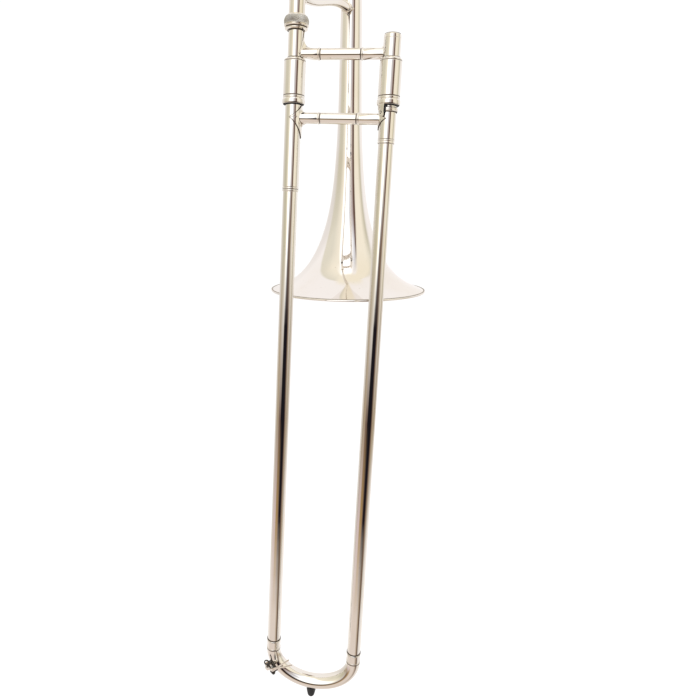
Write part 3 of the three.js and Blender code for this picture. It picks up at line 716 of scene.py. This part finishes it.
def make_bell_section_braces():
    for name, node, bar_r, pipe_r, body in (
            ("upper_brace_turned", "upper_brace", 4.2, LEG_R, "bell_section"),
            ("tuning_brace_turned", "tuning_brace", 3.6, LEG_R + 0.6, "tuning_slide")):
        low, high = extent(node, BELL)
        bar_between(name, node, (low.z + high.z) / 2, bar_r, pipe_r, body)


# Inner slide ----------
def collar_outline():
    """A barrel's lower collar: two steps, a swelling band, and a wide mouth below."""
    radius, foot, top = COLLAR_HIGH.x, COLLAR_LOW.z, COLLAR_HIGH.z
    bore, mouth = BARREL_BORE_R + 0.1, radius - 0.8
    return [(mouth, foot + 2.4), (mouth, foot), (radius - 0.35, foot + 0.1),
            (radius - 0.05, foot + 1.1), (radius, foot + 2.6), (radius - 0.1, foot + 4.2),
            (radius - 0.6, foot + 5.4), (radius - 1.0, foot + 5.6), (radius - 1.0, foot + 6.0),
            (radius - 0.55, foot + 6.2), (radius - 0.55, top - 0.5), (radius - 0.9, top),
            (bore, top), (bore, foot + 2.4)]


def bumper_with_painted_shade(side, body):
    """The black rubber ring in a collar's mouth, which the hand slide comes up against; its black
    is also painted shade, standing in for the shadow inside the collar's mouth.
    """
    foot, mouth, bore = COLLAR_LOW.z, COLLAR_HIGH.x, SLEEVE_R + 0.45
    outline = [(bore, foot - 0.8), (mouth - 1.1, foot - 0.8), (mouth - 1.0, foot + 2.0),
               (bore, foot + 2.0)]
    turned(f"barrel_bumper_shade_{side}", outline, SLIDE[side], body, "rubber", [], 0.3)


def seams(name, body, rings):
    """The dark lines of old polish left in the joints: (matrix, radius, height, width) each."""
    shapes = []
    for at, radius, height, width in rings:
        outline = [(radius - 0.5, height - width / 2), (radius, height - width / 2),
                   (radius, height + width / 2), (radius - 0.5, height + width / 2)]
        shapes.append(moved(lathe(outline, 64), at))
    piece(name, together(*shapes), HERE, body, "grime")


def make_inner_slide():
    dark = []
    for side, at in SLIDE.items():
        pipe_for(f"inner_tube_{side}", at, "inner_slide", INNER_TUBE_BORE_R, "chrome")
        pipe_for(f"stocking_{side}", at, "inner_slide", INNER_TUBE_BORE_R, "chrome", 0.15)
        pipe_for(f"slide_cork_{side}", at, "inner_slide", extent(f"stocking_{side}", at)[1].x + 0.1,
                 "cork")
        node = f"cork_barrel_{side}"
        low, high = extent(node, at)
        radius = high.x
        outline = [(BARREL_BORE_R, low.z), (radius - 0.3, low.z), (radius, low.z + 0.5),
                   (radius, high.z - 0.5), (radius - 0.3, high.z), (BARREL_BORE_R, high.z)]
        turned_node(node, outline, at, "inner_slide")
        node = f"barrel_cap_{side}"
        low, high = extent(node, at)
        radius, bore = extent(f"cork_barrel_{side}", at)[1].x, INNER_TUBE_BORE_R + 0.65
        tube_r = {"bell_side": TENON_TUBE_R, "mouthpiece_side": RECEIVER_R}[side]
        outline = [(bore, low.z), (radius - 0.2, low.z), (radius + 0.1, low.z + 0.5),
                   (radius, low.z + 1.1), (radius - 0.7, low.z + 1.7), (tube_r + 1.1, high.z - 0.5),
                   (tube_r + 0.7, high.z), (bore, high.z)]
        turned_node(node, outline, at, "inner_slide", 0.15)
        dark += [(at, radius - 0.25, low.z - 0.35, 1.0), (at, tube_r + 0.35, high.z + 0.1, 0.7),
                 (at, COLLAR_HIGH.x - 0.75, COLLAR_HIGH.z + 0.15, 0.7)]
    pipe_for("leadpipe", SLIDE["mouthpiece_side"], "inner_slide", 5.5)
    turned_node("barrel_collar", collar_outline(), SLIDE["bell_side"], "inner_slide", 0.2)
    bumper_with_painted_shade("bell_side", "inner_slide")
    seams("barrel_seams", "inner_slide", dark)


def make_tenon():
    """The pipe under the nut, with the round flange that the nut turns on."""
    at = SLIDE["bell_side"]
    low, high = extent("slide_tenon", at)
    flange_r, nut_foot = high.x, extent("bell_lock_nut", at)[0].z
    seat = extent("barrel_cap_bell_side", at)[1].z + GAP
    outline = [(TENON_BORE_R, low.z), (6.6, low.z), (6.6, seat), (TENON_TUBE_R, seat + 0.4),
               (TENON_TUBE_R, nut_foot - 3.0), (TENON_TUBE_R + 1.0, nut_foot - 2.9),
               (flange_r - 1.4, nut_foot - 2.4), (flange_r, nut_foot - 2.0),
               (flange_r, nut_foot - 1.2), (flange_r - 0.3, nut_foot - 0.9),
               (TENON_R + 1.4, nut_foot - 0.8), (TENON_R + 1.4, nut_foot - 0.4),
               (TENON_R + 0.6, nut_foot - 0.4), (TENON_R + 0.6, nut_foot + 3.6),
               (TENON_R - 0.2, nut_foot + 3.7), (TENON_R - 1.1, high.z), (TENON_BORE_R, high.z)]
    turned_node("slide_tenon", outline, at, "inner_slide", 0.12)
    seams("tenon_seams", "inner_slide", [(at, flange_r - 0.6, nut_foot - 0.35, 0.6),
                                         (at, TENON_TUBE_R + 1.3, nut_foot - 3.1, 0.5)])


def make_receiver():
    at = SLIDE["mouthpiece_side"]
    low, high = extent("mouthpiece_receiver", at)
    radius, bore = high.x, INNER_TUBE_BORE_R + 0.65
    outline = [(bore, low.z), (radius, low.z), (radius, high.z - 5.0),
               (radius - 0.25, high.z - 4.7), (radius, high.z - 4.4), (radius - 0.2, high.z - 1.4),
               (radius - 0.8, high.z - 0.5), (radius - 1.2, high.z), (6.5, high.z),
               (6.1, high.z - 1), (5.8, low.z + 1), (bore, low.z + 1)]
    turned_node("mouthpiece_receiver", outline, at, "inner_slide", 0.12)
    seams("receiver_seam", "inner_slide", [(at, radius - 0.65, high.z - 0.6, 0.5)])


def make_lock_nut():
    """The nut's swelling band is knurled with crossing ridges, between two bright plain rims."""
    at = SLIDE["bell_side"]
    low, high = extent("bell_lock_nut", at)
    foot, top, radius = low.z, high.z, high.x
    band = (foot + 2.3, top - 1.6)
    ridges, depth = 60, 0.5

    def knurl(r, z, angle):
        if r < radius - 2.2 or not band[0] < z < band[1]:
            return r
        along = (z - band[0]) / (band[1] - band[0])
        edge = min(1, 9 * along * (1 - along))
        a = ridges * angle + 8 * pi * along
        b = ridges * angle - 8 * pi * along
        return r - depth * edge * (1 - abs(cos(a / 2) * cos(b / 2)))

    swell = []
    for i in range(37):
        t = i / 36
        swell.append((radius - 0.1 - 1.7 * max(0, t - 0.35) ** 2 / 0.42 - 0.5 * (1 - t) ** 3,
                      band[0] + (band[1] - band[0]) * t))
    at_foot = swell[0][0]
    shape = lathe(rounded([(TENON_R + 1, foot), (radius - 2.0, foot), (radius - 1.1, foot + 0.2),
                           (at_foot + 0.05, foot + 1.0), (at_foot + 0.15, foot + 1.7),
                           (at_foot - 0.5, foot + 2.0), (at_foot - 0.5, foot + 2.2)],
                          0.12) + swell + [(swell[-1][0] - 0.5, band[1] + 0.15),
                                           (swell[-1][0] - 1.0, top - 0.9),
                                           (NECK_R + 1.4, top - 0.1), (NECK_R + 0.3, top),
                                           (NECK_R + 0.3, top - 2), (NECK_R + 1.4, top - 3),
                                           (NECK_R + 1.4, foot + 2), (TENON_R + 1, foot + 2)], 360,
                  knurl)
    made = piece("bell_lock_nut_knurled", shape, at, "lock_nut", "knurl", ["bell_lock_nut"],
                 sharp=50)
    made.data.materials.append(FINISHES["nickel"][0])
    for face in made.data.polygons:
        height = (at.inverted() @ (face.center / MM)).z
        if not band[0] < height < band[1]:
            face.material_index = 1


def make_slide_brace(which, body, feet):
    """feet gives for each side its pipe's radius, its star and fillets, and its cuts."""
    height, reach = middle(f"{which}_brace_bar").z, BRACE_REACH[which]
    dark = []
    outlines = []
    for side, turn in (("bell_side", 0), ("mouthpiece_side", pi)):
        pipe_r, star, fillet, *cuts = feet[side]
        shape = brace_socket(pipe_r, reach[side], star, fillet, *cuts)
        at = lifted(SLIDE[side], height, turn)
        piece(f"{which}_brace_foot_{side}", shape, at, body, "nickel",
              [f"{which}_brace_socket_{side}"])
        along = at @ Z_TO_X
        dark.append((along, BRACE_R - 0.3, reach[side] - 0.1, 1.2))
        if which == "outer":
            outlines.append(moved(solder_line(pipe_r, star, *cuts), at))
    if outlines:
        piece(f"{which}_brace_solder", together(*outlines), HERE, body, "grime")
    start = reach["bell_side"] + GAP
    length = SPACING - start - reach["mouthpiece_side"] - GAP
    outline = [(0, -SPIGOT_LENGTH), (SPIGOT_R, -SPIGOT_LENGTH), (SPIGOT_R, 0), (BRACE_R, 0),
               (BRACE_R, length), (SPIGOT_R, length), (SPIGOT_R, length + SPIGOT_LENGTH),
               (0, length + SPIGOT_LENGTH)]
    at = (SLIDE["bell_side"] @ Matrix.Translation((start, 0, height)) @ Z_TO_X)
    turned_node(f"{which}_brace_bar", outline, at, body, 0.3)
    seams(f"{which}_brace_seams", body, dark)


def make_slide_braces():
    cap_r, cap_top = extent("barrel_cap_bell_side", SLIDE["bell_side"])[1].xz
    above_cap = (cap_r + 0.3, cap_top + 0.4 - middle("inner_brace_bar").z)
    make_slide_brace("inner", "inner_slide", {"bell_side": (TENON_TUBE_R, (22, 9, 7.6),
                                                            (9.5, 1.5, 1.0), above_cap),
                                              "mouthpiece_side": (RECEIVER_R, (7.6, 7.6, 7.4),
                                                                  (1.2, 1.2, 0.8), above_cap)})
    height = middle("outer_brace_bar").z
    collar = COLLAR_LOW.z - 1.2
    ring = extent("sleeve_ring_mouthpiece_side", SLIDE["mouthpiece_side"])[0].z - 0.5
    make_slide_brace("outer", "hand_slide", {"bell_side": (SLEEVE_R, (14, 20, 17.0),
                                                           (4.5, 6.0, 0.8), None,
                                                           (12.4, collar - height)),
                                             "mouthpiece_side": (SLEEVE_R, (9, 10.5, 13.4),
                                                                 (1.0, 1.0, 0.8), None,
                                                                 (10.2, ring - height))})


def make_slide_lock():
    """The turning collar, with a bent arm whose foot catches under the stud."""
    at = SLIDE["mouthpiece_side"]
    collar_foot = COLLAR_LOW.z
    foot = extent("slide_lock_ring", at)[0].z
    inner, outer = SLEEVE_R + 1.75, SLEEVE_R + 3.35
    stud = middle("slide_lock_stud")
    stud_angle = degrees(atan2(stud.y - at.translation.y, stud.x - at.translation.x))

    def curved(outline, inside, outside):
        """Wraps a flat outline of [degrees, height] points round the tube as a thick plate."""
        points = [Vector((r * cos(radians(a)), r * sin(radians(a)), z)) for r in (inside, outside)
                  for a, z in outline]
        count = len(outline)
        faces = [list(range(count)), list(range(count, 2 * count))[::-1]]
        faces += [[i, (i + 1) % count, count + (i + 1) % count, count + i] for i in range(count)]
        return points, faces

    top = collar_foot + 1.2
    right = smooth_line([(-107, top), (-109, collar_foot - 2), (-110, collar_foot - 6),
                         (-109, foot + 3), (-110.5, foot + 0.8), (-115, foot)], 5)
    fork = smooth_line([(-121, foot + 0.1), (-129, foot + 0.3), (stud_angle - 6, foot + 0.9),
                        (stud_angle - 6.4, foot + 1.7)], 5)
    slot = smooth_line([(stud_angle - 1, foot + 2.0), (-121, foot + 2.3), (-119.4, foot + 3.6),
                        (-121, foot + 5.0), (stud_angle - 1, foot + 5.3), (-143, foot + 5.8)], 5)
    left = smooth_line([(-147, foot + 7.2), (-148, collar_foot - 1.5), (-144, top)], 5)
    piece("slide_lock_hook", curved(right + fork + slot + left, inner, outer), at, "lock_ring",
          "nickel", bevel=0.3)
    # Painted shade: a dark rubber sheet behind the hook, standing in for the shadow in the recess
    # under the collar's mouth and beside the hook's arm.
    shade_outline = [(-118, foot + 1.0), (-109, foot + 1.2), (-106.5, foot + 3.5), (-100, foot + 5.4),
           (-100, collar_foot - 3), (-92, collar_foot - 1.4), (-92, collar_foot + 1),
           (-138, collar_foot + 1), (-138, foot + 8), (-122, foot + 6.5)]
    piece("slide_lock_painted_shade", curved(shade_outline, SLEEVE_R + 1.45, inner - 0.02), at, "lock_ring", "rubber")
    turned("slide_lock_collar", collar_outline(), at, "lock_ring", "nickel", ["slide_lock_ring"],
           0.2)
    bumper_with_painted_shade("mouthpiece_side", "lock_ring")


# Hand slide ----------
def make_hand_slide():
    dark = []
    for side, at in SLIDE.items():
        pipe_for(f"outer_tube_{side}", at, "hand_slide", TUBE_BORE_R)
        node = f"oversleeve_{side}"
        low, high = extent(node, at)
        bore = TUBE_R + 0.1
        outline = [(bore, low.z), (bore + 0.35, low.z),
                   *bead(SLEEVE_R - 0.15, low.z + 1.2, 1.7, 0.35),
                   *bead(SLEEVE_R - 0.15, low.z + 3.6, 1.7, 0.35), (SLEEVE_R, low.z + 5),
                   (SLEEVE_R, high.z), (bore, high.z)]
        turned_node(node, outline, at, "hand_slide", 0.12)
        dark += [(at, SLEEVE_R - 0.1, low.z + z, 0.4) for z in OVERSLEEVE_LINES[side]]
        node = f"bow_ferrule_{side}"
        low, high = extent(node, at)
        body_r = high.x - 0.25
        outline = [(bore, low.z), (body_r - 0.3, low.z), *bead(body_r, low.z + 1.2, 1.6, 0.3),
                   (body_r, low.z + 2.6), (body_r, high.z - 2.6),
                   *bead(body_r, high.z - 1.2, 1.6, 0.3), (bore, high.z)]
        turned_node(node, outline, at, "hand_slide", 0.15)
        dark += [(at, SLEEVE_R - 0.25, high.z + 0.5, 1.1), (at, BOW_R + 0.2, low.z - 0.1, 0.6)]
    at = SLIDE["mouthpiece_side"]
    low, high = extent("sleeve_ring_mouthpiece_side", at)
    bore, radius, height = SLEEVE_R + 0.1, high.x, (low.z + high.z) / 2
    outline = [(bore, low.z), (radius - 0.6, low.z), (radius, low.z + 0.8), (radius, height - 0.2),
               (radius - 0.35, height), (radius, height + 0.2), (radius, high.z - 0.8),
               (radius - 0.6, high.z), (bore, high.z)]
    turned("sleeve_ring_turned", outline, at, "hand_slide", "nickel",
           ["sleeve_ring_mouthpiece_side"], 0.2)
    dark.append((at, radius - 0.5, low.z - 0.3, 1.0))
    seams("slide_seams", "hand_slide", dark)
    make_lock_stud()


def make_lock_stud():
    low, high = extent("slide_lock_stud")
    centre = (low + high) / 2
    tube = SLIDE["mouthpiece_side"].translation
    out = Vector((centre.x - tube.x, centre.y - tube.y, 0)).normalized()
    ring = extent("sleeve_ring_mouthpiece_side")[0].z
    at = frame_of(Vector((tube.x, tube.y, ring - 1.8)), (0, 0, 1), out)
    tip = SLEEVE_R + 3.7
    outline = [(0, SLEEVE_R - 0.3), (1.4, SLEEVE_R - 0.3), (1.4, SLEEVE_R + 0.6),
               (1.0, SLEEVE_R + 1.0), (1.0, tip - 1.0), (1.2, tip - 0.7), (1.0, tip - 0.15),
               (0, tip)]
    turned_node("slide_lock_stud", outline, at, "hand_slide", 0.12, sides=32)


def make_bow():
    path = [bow_point(180 * i / 96) for i in range(97)]
    piece("slide_bow_drawn", swept_pipe(path, BOW_R, BOW_R - BOW_WALL), HERE, "hand_slide",
          "nickel", ["slide_bow"])
    at = Matrix.Translation((0, SLIDE_Y, 0))
    low, high = extent("bumper_stud", at)
    middle_z = BOW_TOP_Z - BOW_DROP
    seat = middle_z - BOW_R - 1.6
    outline = [(0, low.z), (2.4, low.z), (2.4, seat), (4.4, seat), (4.6, seat + 0.8),
               (4.2, middle_z - 5), (0, middle_z - 5)]
    turned_node("bumper_stud", outline, at, "hand_slide")
    low, high = extent("rubber_tip", at)
    tip, radius = low.z, high.x
    lip = middle_z - BOW_R + 1.2
    outline = [(0, tip), (1.8, tip + 0.1), (3.0, tip + 0.6), (3.8, tip + 1.6), (4.3, tip + 3),
               (radius - 0.2, high.z - 1.6), (radius + 0.1, lip - 1.6), (radius, lip - 0.4),
               (radius - 0.4, lip), (4.8, lip), (4.8, high.z), (2.8, high.z), (2.8, tip + 3.6),
               (0, tip + 3.6)]
    turned("rubber_tip_moulded", outline, at, "hand_slide", "rubber", ["rubber_tip"], 0.3)


# Water key ----------
def around_tube(radius, turn):
    angle = radians(turn)
    return Vector((radius * cos(angle), -radius * sin(angle)))


def make_water_key():
    pivot = around_tube(KEY_PIVOT_R, KEY_PIVOT_ANGLE)
    on_pivot = KEY @ Matrix.Translation((*pivot, 0))
    out_of_tube = (KEY @ Matrix.Rotation(-radians(NIPPLE_ANGLE), 4, "Z") @ Z_TO_X)

    outline = [(1.4, BOW_R - 2), (4.4, BOW_R - 2), (4.4, BOW_R + 0.5), (3.6, BOW_R + 1.1),
               (2.9, BOW_R + 1.8), (2.7, BOW_R + 3.6), (2.3, BOW_R + 4), (1.4, BOW_R + 4)]
    turned_node("water_key_nipple", outline, out_of_tube, "hand_slide", 0.2, sides=48)

    arc = [-KEY_PIVOT_ANGLE - 24 + 36 * i / 12 for i in range(13)]
    rim = [around_tube(BOW_R - 0.1, -a) for a in arc] + [around_tube(BOW_R + 1.4, -a)
                                                         for a in arc[::-1]]
    saddle = [plate(rim, -6.4, 6.4)]
    for z in (-5.6, 5.6):
        cheek = [around_tube(BOW_R + 0.6, KEY_PIVOT_ANGLE + 18)]
        facing = atan2(pivot.y, pivot.x)
        for i in range(13):
            a = facing - radians(100) + radians(200) * i / 12
            cheek.append(pivot + 2.4 * Vector((cos(a), sin(a))))
        cheek.append(around_tube(BOW_R + 0.6, KEY_PIVOT_ANGLE - 18))
        saddle.append(plate(cheek, z - 0.65, z + 0.65))
    piece("water_key_saddle_cast", together(*saddle), KEY, "hand_slide", "steel",
          ["water_key_saddle"], bevel=0.18)

    outline = [(0, -7.4), (1.6, -7.4), (1.6, -6.6), (1.0, -6.5), (1.0, 6.6), (1.9, 6.6), (2.0, 7.3),
               (1.5, 7.9), (0, 8.0)]
    turned_node("water_key_screw", outline, on_pivot, "hand_slide", 0.15, "steel", 32)

    make_spring(on_pivot)

    cork_foot = BOW_R + 4 + GAP
    arm_r = cork_foot + 2.4 + 1.7
    turned("water_key_cork_disc", [(0, cork_foot), (3.3, cork_foot), (3.4, cork_foot + 2.4),
                                   (0, cork_foot + 2.4)], out_of_tube, "water_key", "cork",
           ["water_key_cork"], 0.3, 48)

    arm = smooth_line([pivot + Vector((0.3, 0.4)), around_tube(arm_r, 27), around_tube(arm_r, 10),
                       around_tube(arm_r, -9)], 6)
    hub = lathe(rounded([(1.15, -1.7), (2.3, -1.7), (2.3, 1.7), (1.15, 1.7)], 0.3), 48)
    seat = lathe(rounded([(0, cork_foot + 2.5), (3.6, cork_foot + 2.5), (3.9, cork_foot + 3.3),
                          (3.2, arm_r + 0.5), (0, arm_r + 0.7)], 0.3), 48)
    path = smooth_line([pivot + Vector((1.2, 1.6)), (5.5, -13.0), (0, -13.8), (-6, -14.3),
                        (-13, -14.8), (-22.5, -14.9)], 8)
    prongs = [forked_prong(path, sign) for sign in (-1, 1)]
    lever = together(plate(strip(arm, 1.3), -1.6, 1.6), moved(hub, Matrix.Translation((*pivot, 0))),
                     moved(seat, KEY.inverted() @ out_of_tube), *prongs)
    piece("water_key_lever_cast", lever, KEY, "water_key", "nickel", ["water_key_lever"],
          bevel=0.12)


def forked_prong(path, sign):
    """One side of the lever: close beside the other at the waist, and spread at the thumb end."""
    rings = []
    count = len(path) - 1
    for i, point in enumerate(path):
        t = i / count
        ahead = (path[min(i + 1, count)] - path[max(i - 1, 0)]).normalized()
        side = Vector((-ahead.y, ahead.x))
        middle_z = 1.5 * (1 - min(1, t / 0.45)) + 0.55 + 3.0 * max(0, (t - 0.5) / 0.5) ** 1.3
        half = 0.55 + 0.35 * sin(pi * min(1, t / 0.5)) + 0.45 * max(0, t - 0.55)
        low, high = sign * (middle_z - half), sign * (middle_z + half)
        rings.append([Vector((*(point + side * 0.6), low)), Vector((*(point + side * 0.6), high)),
                      Vector((*(point - side * 0.6), high)), Vector((*(point - side * 0.6), low))])
    return skinned(rings)


def make_spring(on_pivot):
    """A coil on the hinge screw that runs out into an open loop beside it, and ends on the bow."""
    coil, loop = 2.3, 2.8
    line = [Vector((-5.6, 3.4, 4.6)), Vector((-4.0, 3.0, 4.6)), Vector((-1.6, 2.2, 4.6))]
    for i in range(49):
        turn = 2 * pi * 2.1 * i / 48 + 1.9
        line.append(Vector((coil * cos(turn), coil * sin(turn), 4.4 - 2.2 * i / 48)))
    shapes = [swept_rod(line, 0.4, 12)]
    line = [Vector((1.6, -1.7, -3.2))]
    for i in range(61):
        turn = 2 * pi * 1.9 * i / 60 + 2.6
        line.append(Vector((-0.5 + loop * cos(turn), -1.6 + 1.3 * i / 60, -9.2 + loop * sin(turn))))
    line += [Vector((-3.2, 1.2, -8.2)), Vector((-4.6, 2.8, -7.4))]
    shapes.append(swept_rod(line, 0.6, 12))
    piece("water_key_spring_wound", together(*shapes), on_pivot, "hand_slide", "steel",
          ["water_key_spring"])


# Studio ----------
WINDOW = (1.5, 1.5, 1.5)
PAPER = (1.02, 0.98, 0.96)
LILAC = (0.74, 0.75, 0.80)
TAUPE = (0.55, 0.46, 0.44)
CREAM = (1.0, 0.93, 0.78)
BEIGE = (0.62, 0.58, 0.45)
SAND = (0.82, 0.78, 0.66)
SLATE = (0.25, 0.22, 0.23)
EARTH = (0.22, 0.15, 0.12)
STONE = (0.76, 0.72, 0.68)
BROWN = (0.13, 0.07, 0.05)
TAN = (0.46, 0.37, 0.27)
UMBER = (0.20, 0.13, 0.10)
AMBER = (0.44, 0.29, 0.13)
BLACK = (0.012, 0.010, 0.014)
PINK = (0.70, 0.58, 0.58)
SHELL = (0.82, 0.72, 0.66)

# What polished metal sees. A row is an elevation, the colour at azimuth 180, and colours by
# azimuth, where 0 is towards -Y and 90 towards +X.
ROOM = (
    (-90, SHELL, ()),
    (-38, PAPER, ((-112, PAPER), (-60, SHELL), (20, SHELL), (42, TAN), (56, BROWN), (66, BROWN),
                  (76, STONE), (112, PAPER))),
    (-30, PAPER, ((-112, STONE), (-80, PINK), (-46, PINK), (-34, AMBER), (-10, AMBER),
                  (6, UMBER), (14, BLACK), (42, BLACK), (56, UMBER), (74, TAN), (100, STONE),
                  (125, PAPER))),
    (-21, PAPER, ((-112, STONE), (-82, TAN), (-56, TAN), (-36, UMBER), (-20, UMBER), (-8, BLACK),
                  (48, BLACK), (60, UMBER), (76, TAN), (112, TAN), (130, STONE))),
    (-12, PAPER, ((-112, STONE), (-75, TAN), (-30, STONE), (-18, STONE), (-4, BLACK),
                  (40, BLACK), (50, UMBER), (62, TAN), (82, STONE), (105, TAN), (130, STONE))),
    (-4, PAPER, ((-112, STONE), (-72, BEIGE), (-44, BEIGE), (-26, CREAM), (-20, WINDOW),
                 (-3, WINDOW), (7, SLATE), (20, EARTH), (34, EARTH), (44, TAN), (56, STONE),
                 (84, CREAM), (104, BEIGE), (128, PAPER))),
    (3, PAPER, ((-112, STONE), (-80, BEIGE), (-58, BEIGE), (-34, CREAM), (-26, WINDOW),
                (4, WINDOW), (13, LILAC), (26, TAUPE), (34, BROWN), (44, BROWN), (52, CREAM),
                (80, CREAM), (102, BEIGE), (126, PAPER))),
    (24, PAPER, ((-100, PAPER), (-94, SAND), (-64, SAND), (-34, CREAM), (-26, WINDOW),
                 (4, WINDOW), (12, LILAC), (30, TAUPE), (37, BROWN), (44, BROWN), (49, CREAM),
                 (80, CREAM), (102, BEIGE), (116, PAPER))),
    (38, PAPER, ((-100, PAPER), (-94, SAND), (-64, SAND), (-34, CREAM), (-26, WINDOW),
                 (4, WINDOW), (12, WINDOW), (34, LILAC), (38, BROWN), (41, BROWN), (44, CREAM),
                 (80, CREAM), (102, SAND), (116, PAPER))),
    (54, PAPER, ((-102, PAPER), (-95, SAND), (-60, CREAM), (-34, CREAM), (-26, WINDOW),
                 (4, WINDOW), (12, WINDOW), (34, LILAC), (38, STONE), (41, STONE), (44, CREAM),
                 (90, CREAM), (102, SAND), (110, PAPER))),
    (72, PAPER, ((-104, PAPER), (-96, SAND), (-50, CREAM), (-26, WINDOW), (4, WINDOW),
                 (14, WINDOW), (30, PAPER), (44, PAPER), (52, CREAM), (96, CREAM), (104, PAPER))),
    (78, PAPER, ((-100, CREAM), (100, CREAM))),
    (90, CREAM, ()),
)


def make_world():
    """Plain white for the camera and soft light; a room's walls for polished metal to mirror."""
    world = bpy.data.worlds.new("studio")
    bpy.context.scene.world = world
    n = Nodes(world, "Background")
    x, y, z = n.add("ShaderNodeSeparateXYZ", Vector=n.coordinates["Generated"]).outputs
    azimuth = n.sum("ARCTAN2", x, n.sum("MULTIPLY", y, -1.0))
    azimuth = n.sum("MULTIPLY_ADD", azimuth, 0.5 / pi, 0.5)
    elevation = n.sum("MULTIPLY", n.sum("ARCSINE", z), 180 / pi)

    walls, previous = None, None
    for height, back, stops in ROOM:
        stops = ((-180, back), *stops, (180, back))
        ramp = n.add("ShaderNodeValToRGB")
        n.put(ramp.inputs[0], azimuth)
        elements = ramp.color_ramp.elements
        while len(elements) < len(stops):
            elements.new(0.5)
        for element, (angle, colour) in zip(elements, stops):
            element.position = angle / 360 + 0.5
            element.color = (*colour, 1)
        row = ramp.outputs[0]
        if walls is not None:
            share = n.fill(n.add("ShaderNodeMapRange"), (elevation, previous, height))
            row = n.blend(share, walls, row)
        walls, previous = row, height
    glossy = n.add("ShaderNodeLightPath").outputs["Is Glossy Ray"]
    n.set("Color", n.blend(glossy, (1.05, 1.05, 1.05), walls))
    n.set("Strength", 1)


def make_floor():
    """Low enough that the held instrument's slide can come all the way down."""
    material = bpy.data.materials.new("pale_floor")
    n = Nodes(material)
    n.set("Base Color", n.blend(n.noise(3, 3), (1.0, 1.0, 1.0), (0.98, 0.98, 0.98)))
    n.set("Roughness", 0.9)
    level = extent("rubber_tip")[0].z * MM - JOINTS["slide_travel"]["range_m"][1] - 0.03
    half = 30.0
    mesh = bpy.data.meshes.new("floor")
    corners = [(x * half, y * half, level) for x, y in ((-1, -1), (1, -1), (1, 1), (-1, 1))]
    mesh.from_pydata(corners, [], [(0, 1, 2, 3)])
    mesh.materials.append(material)
    floor = bpy.data.objects.new("floor", mesh)
    bpy.context.scene.collection.objects.link(floor)
    floor.visible_glossy = False


def make_light():
    data = bpy.data.lights.new("softbox", "AREA")
    data.shape, data.size, data.size_y, data.energy = "RECTANGLE", 1.4, 1.8, 14
    light = bpy.data.objects.new("softbox", data)
    light.location = (-1.1, -1.7, 1.3)
    light.rotation_euler = (Vector((0, 0, 0)) - light.location).to_track_quat("-Z", "Y").to_euler()
    light.visible_glossy = False
    bpy.context.scene.collection.objects.link(light)


def make_camera():
    """The lens, place and aim that give the photograph's view of the slide and bell."""
    data = bpy.data.cameras.new("camera")
    data.sensor_width = 36
    data.lens = 29.85
    data.shift_x, data.shift_y = 0.063, -0.063
    camera = bpy.data.objects.new("camera", data)
    right = Vector((0.98208, 0.18379, 0.04181))
    up = Vector((-0.0723, 0.16244, 0.98407))
    turn = Matrix((right, up, right.cross(up))).transposed()
    camera.matrix_world = Matrix.Translation((0.0822, -0.7653, 0.1089)) @ turn.to_4x4()
    bpy.context.scene.collection.objects.link(camera)
    bpy.context.scene.camera = camera


make_camera()
make_world()
make_floor()
make_light()
bpy.context.scene.view_settings.view_transform = "Standard"

make_bell()
make_tuning_legs()
make_neck()
make_bell_brace()
make_tuning_slide()
make_bell_section_braces()
make_inner_slide()
make_tenon()
make_receiver()
make_lock_nut()
make_slide_braces()
make_slide_lock()
make_hand_slide()
make_bow()
make_water_key()
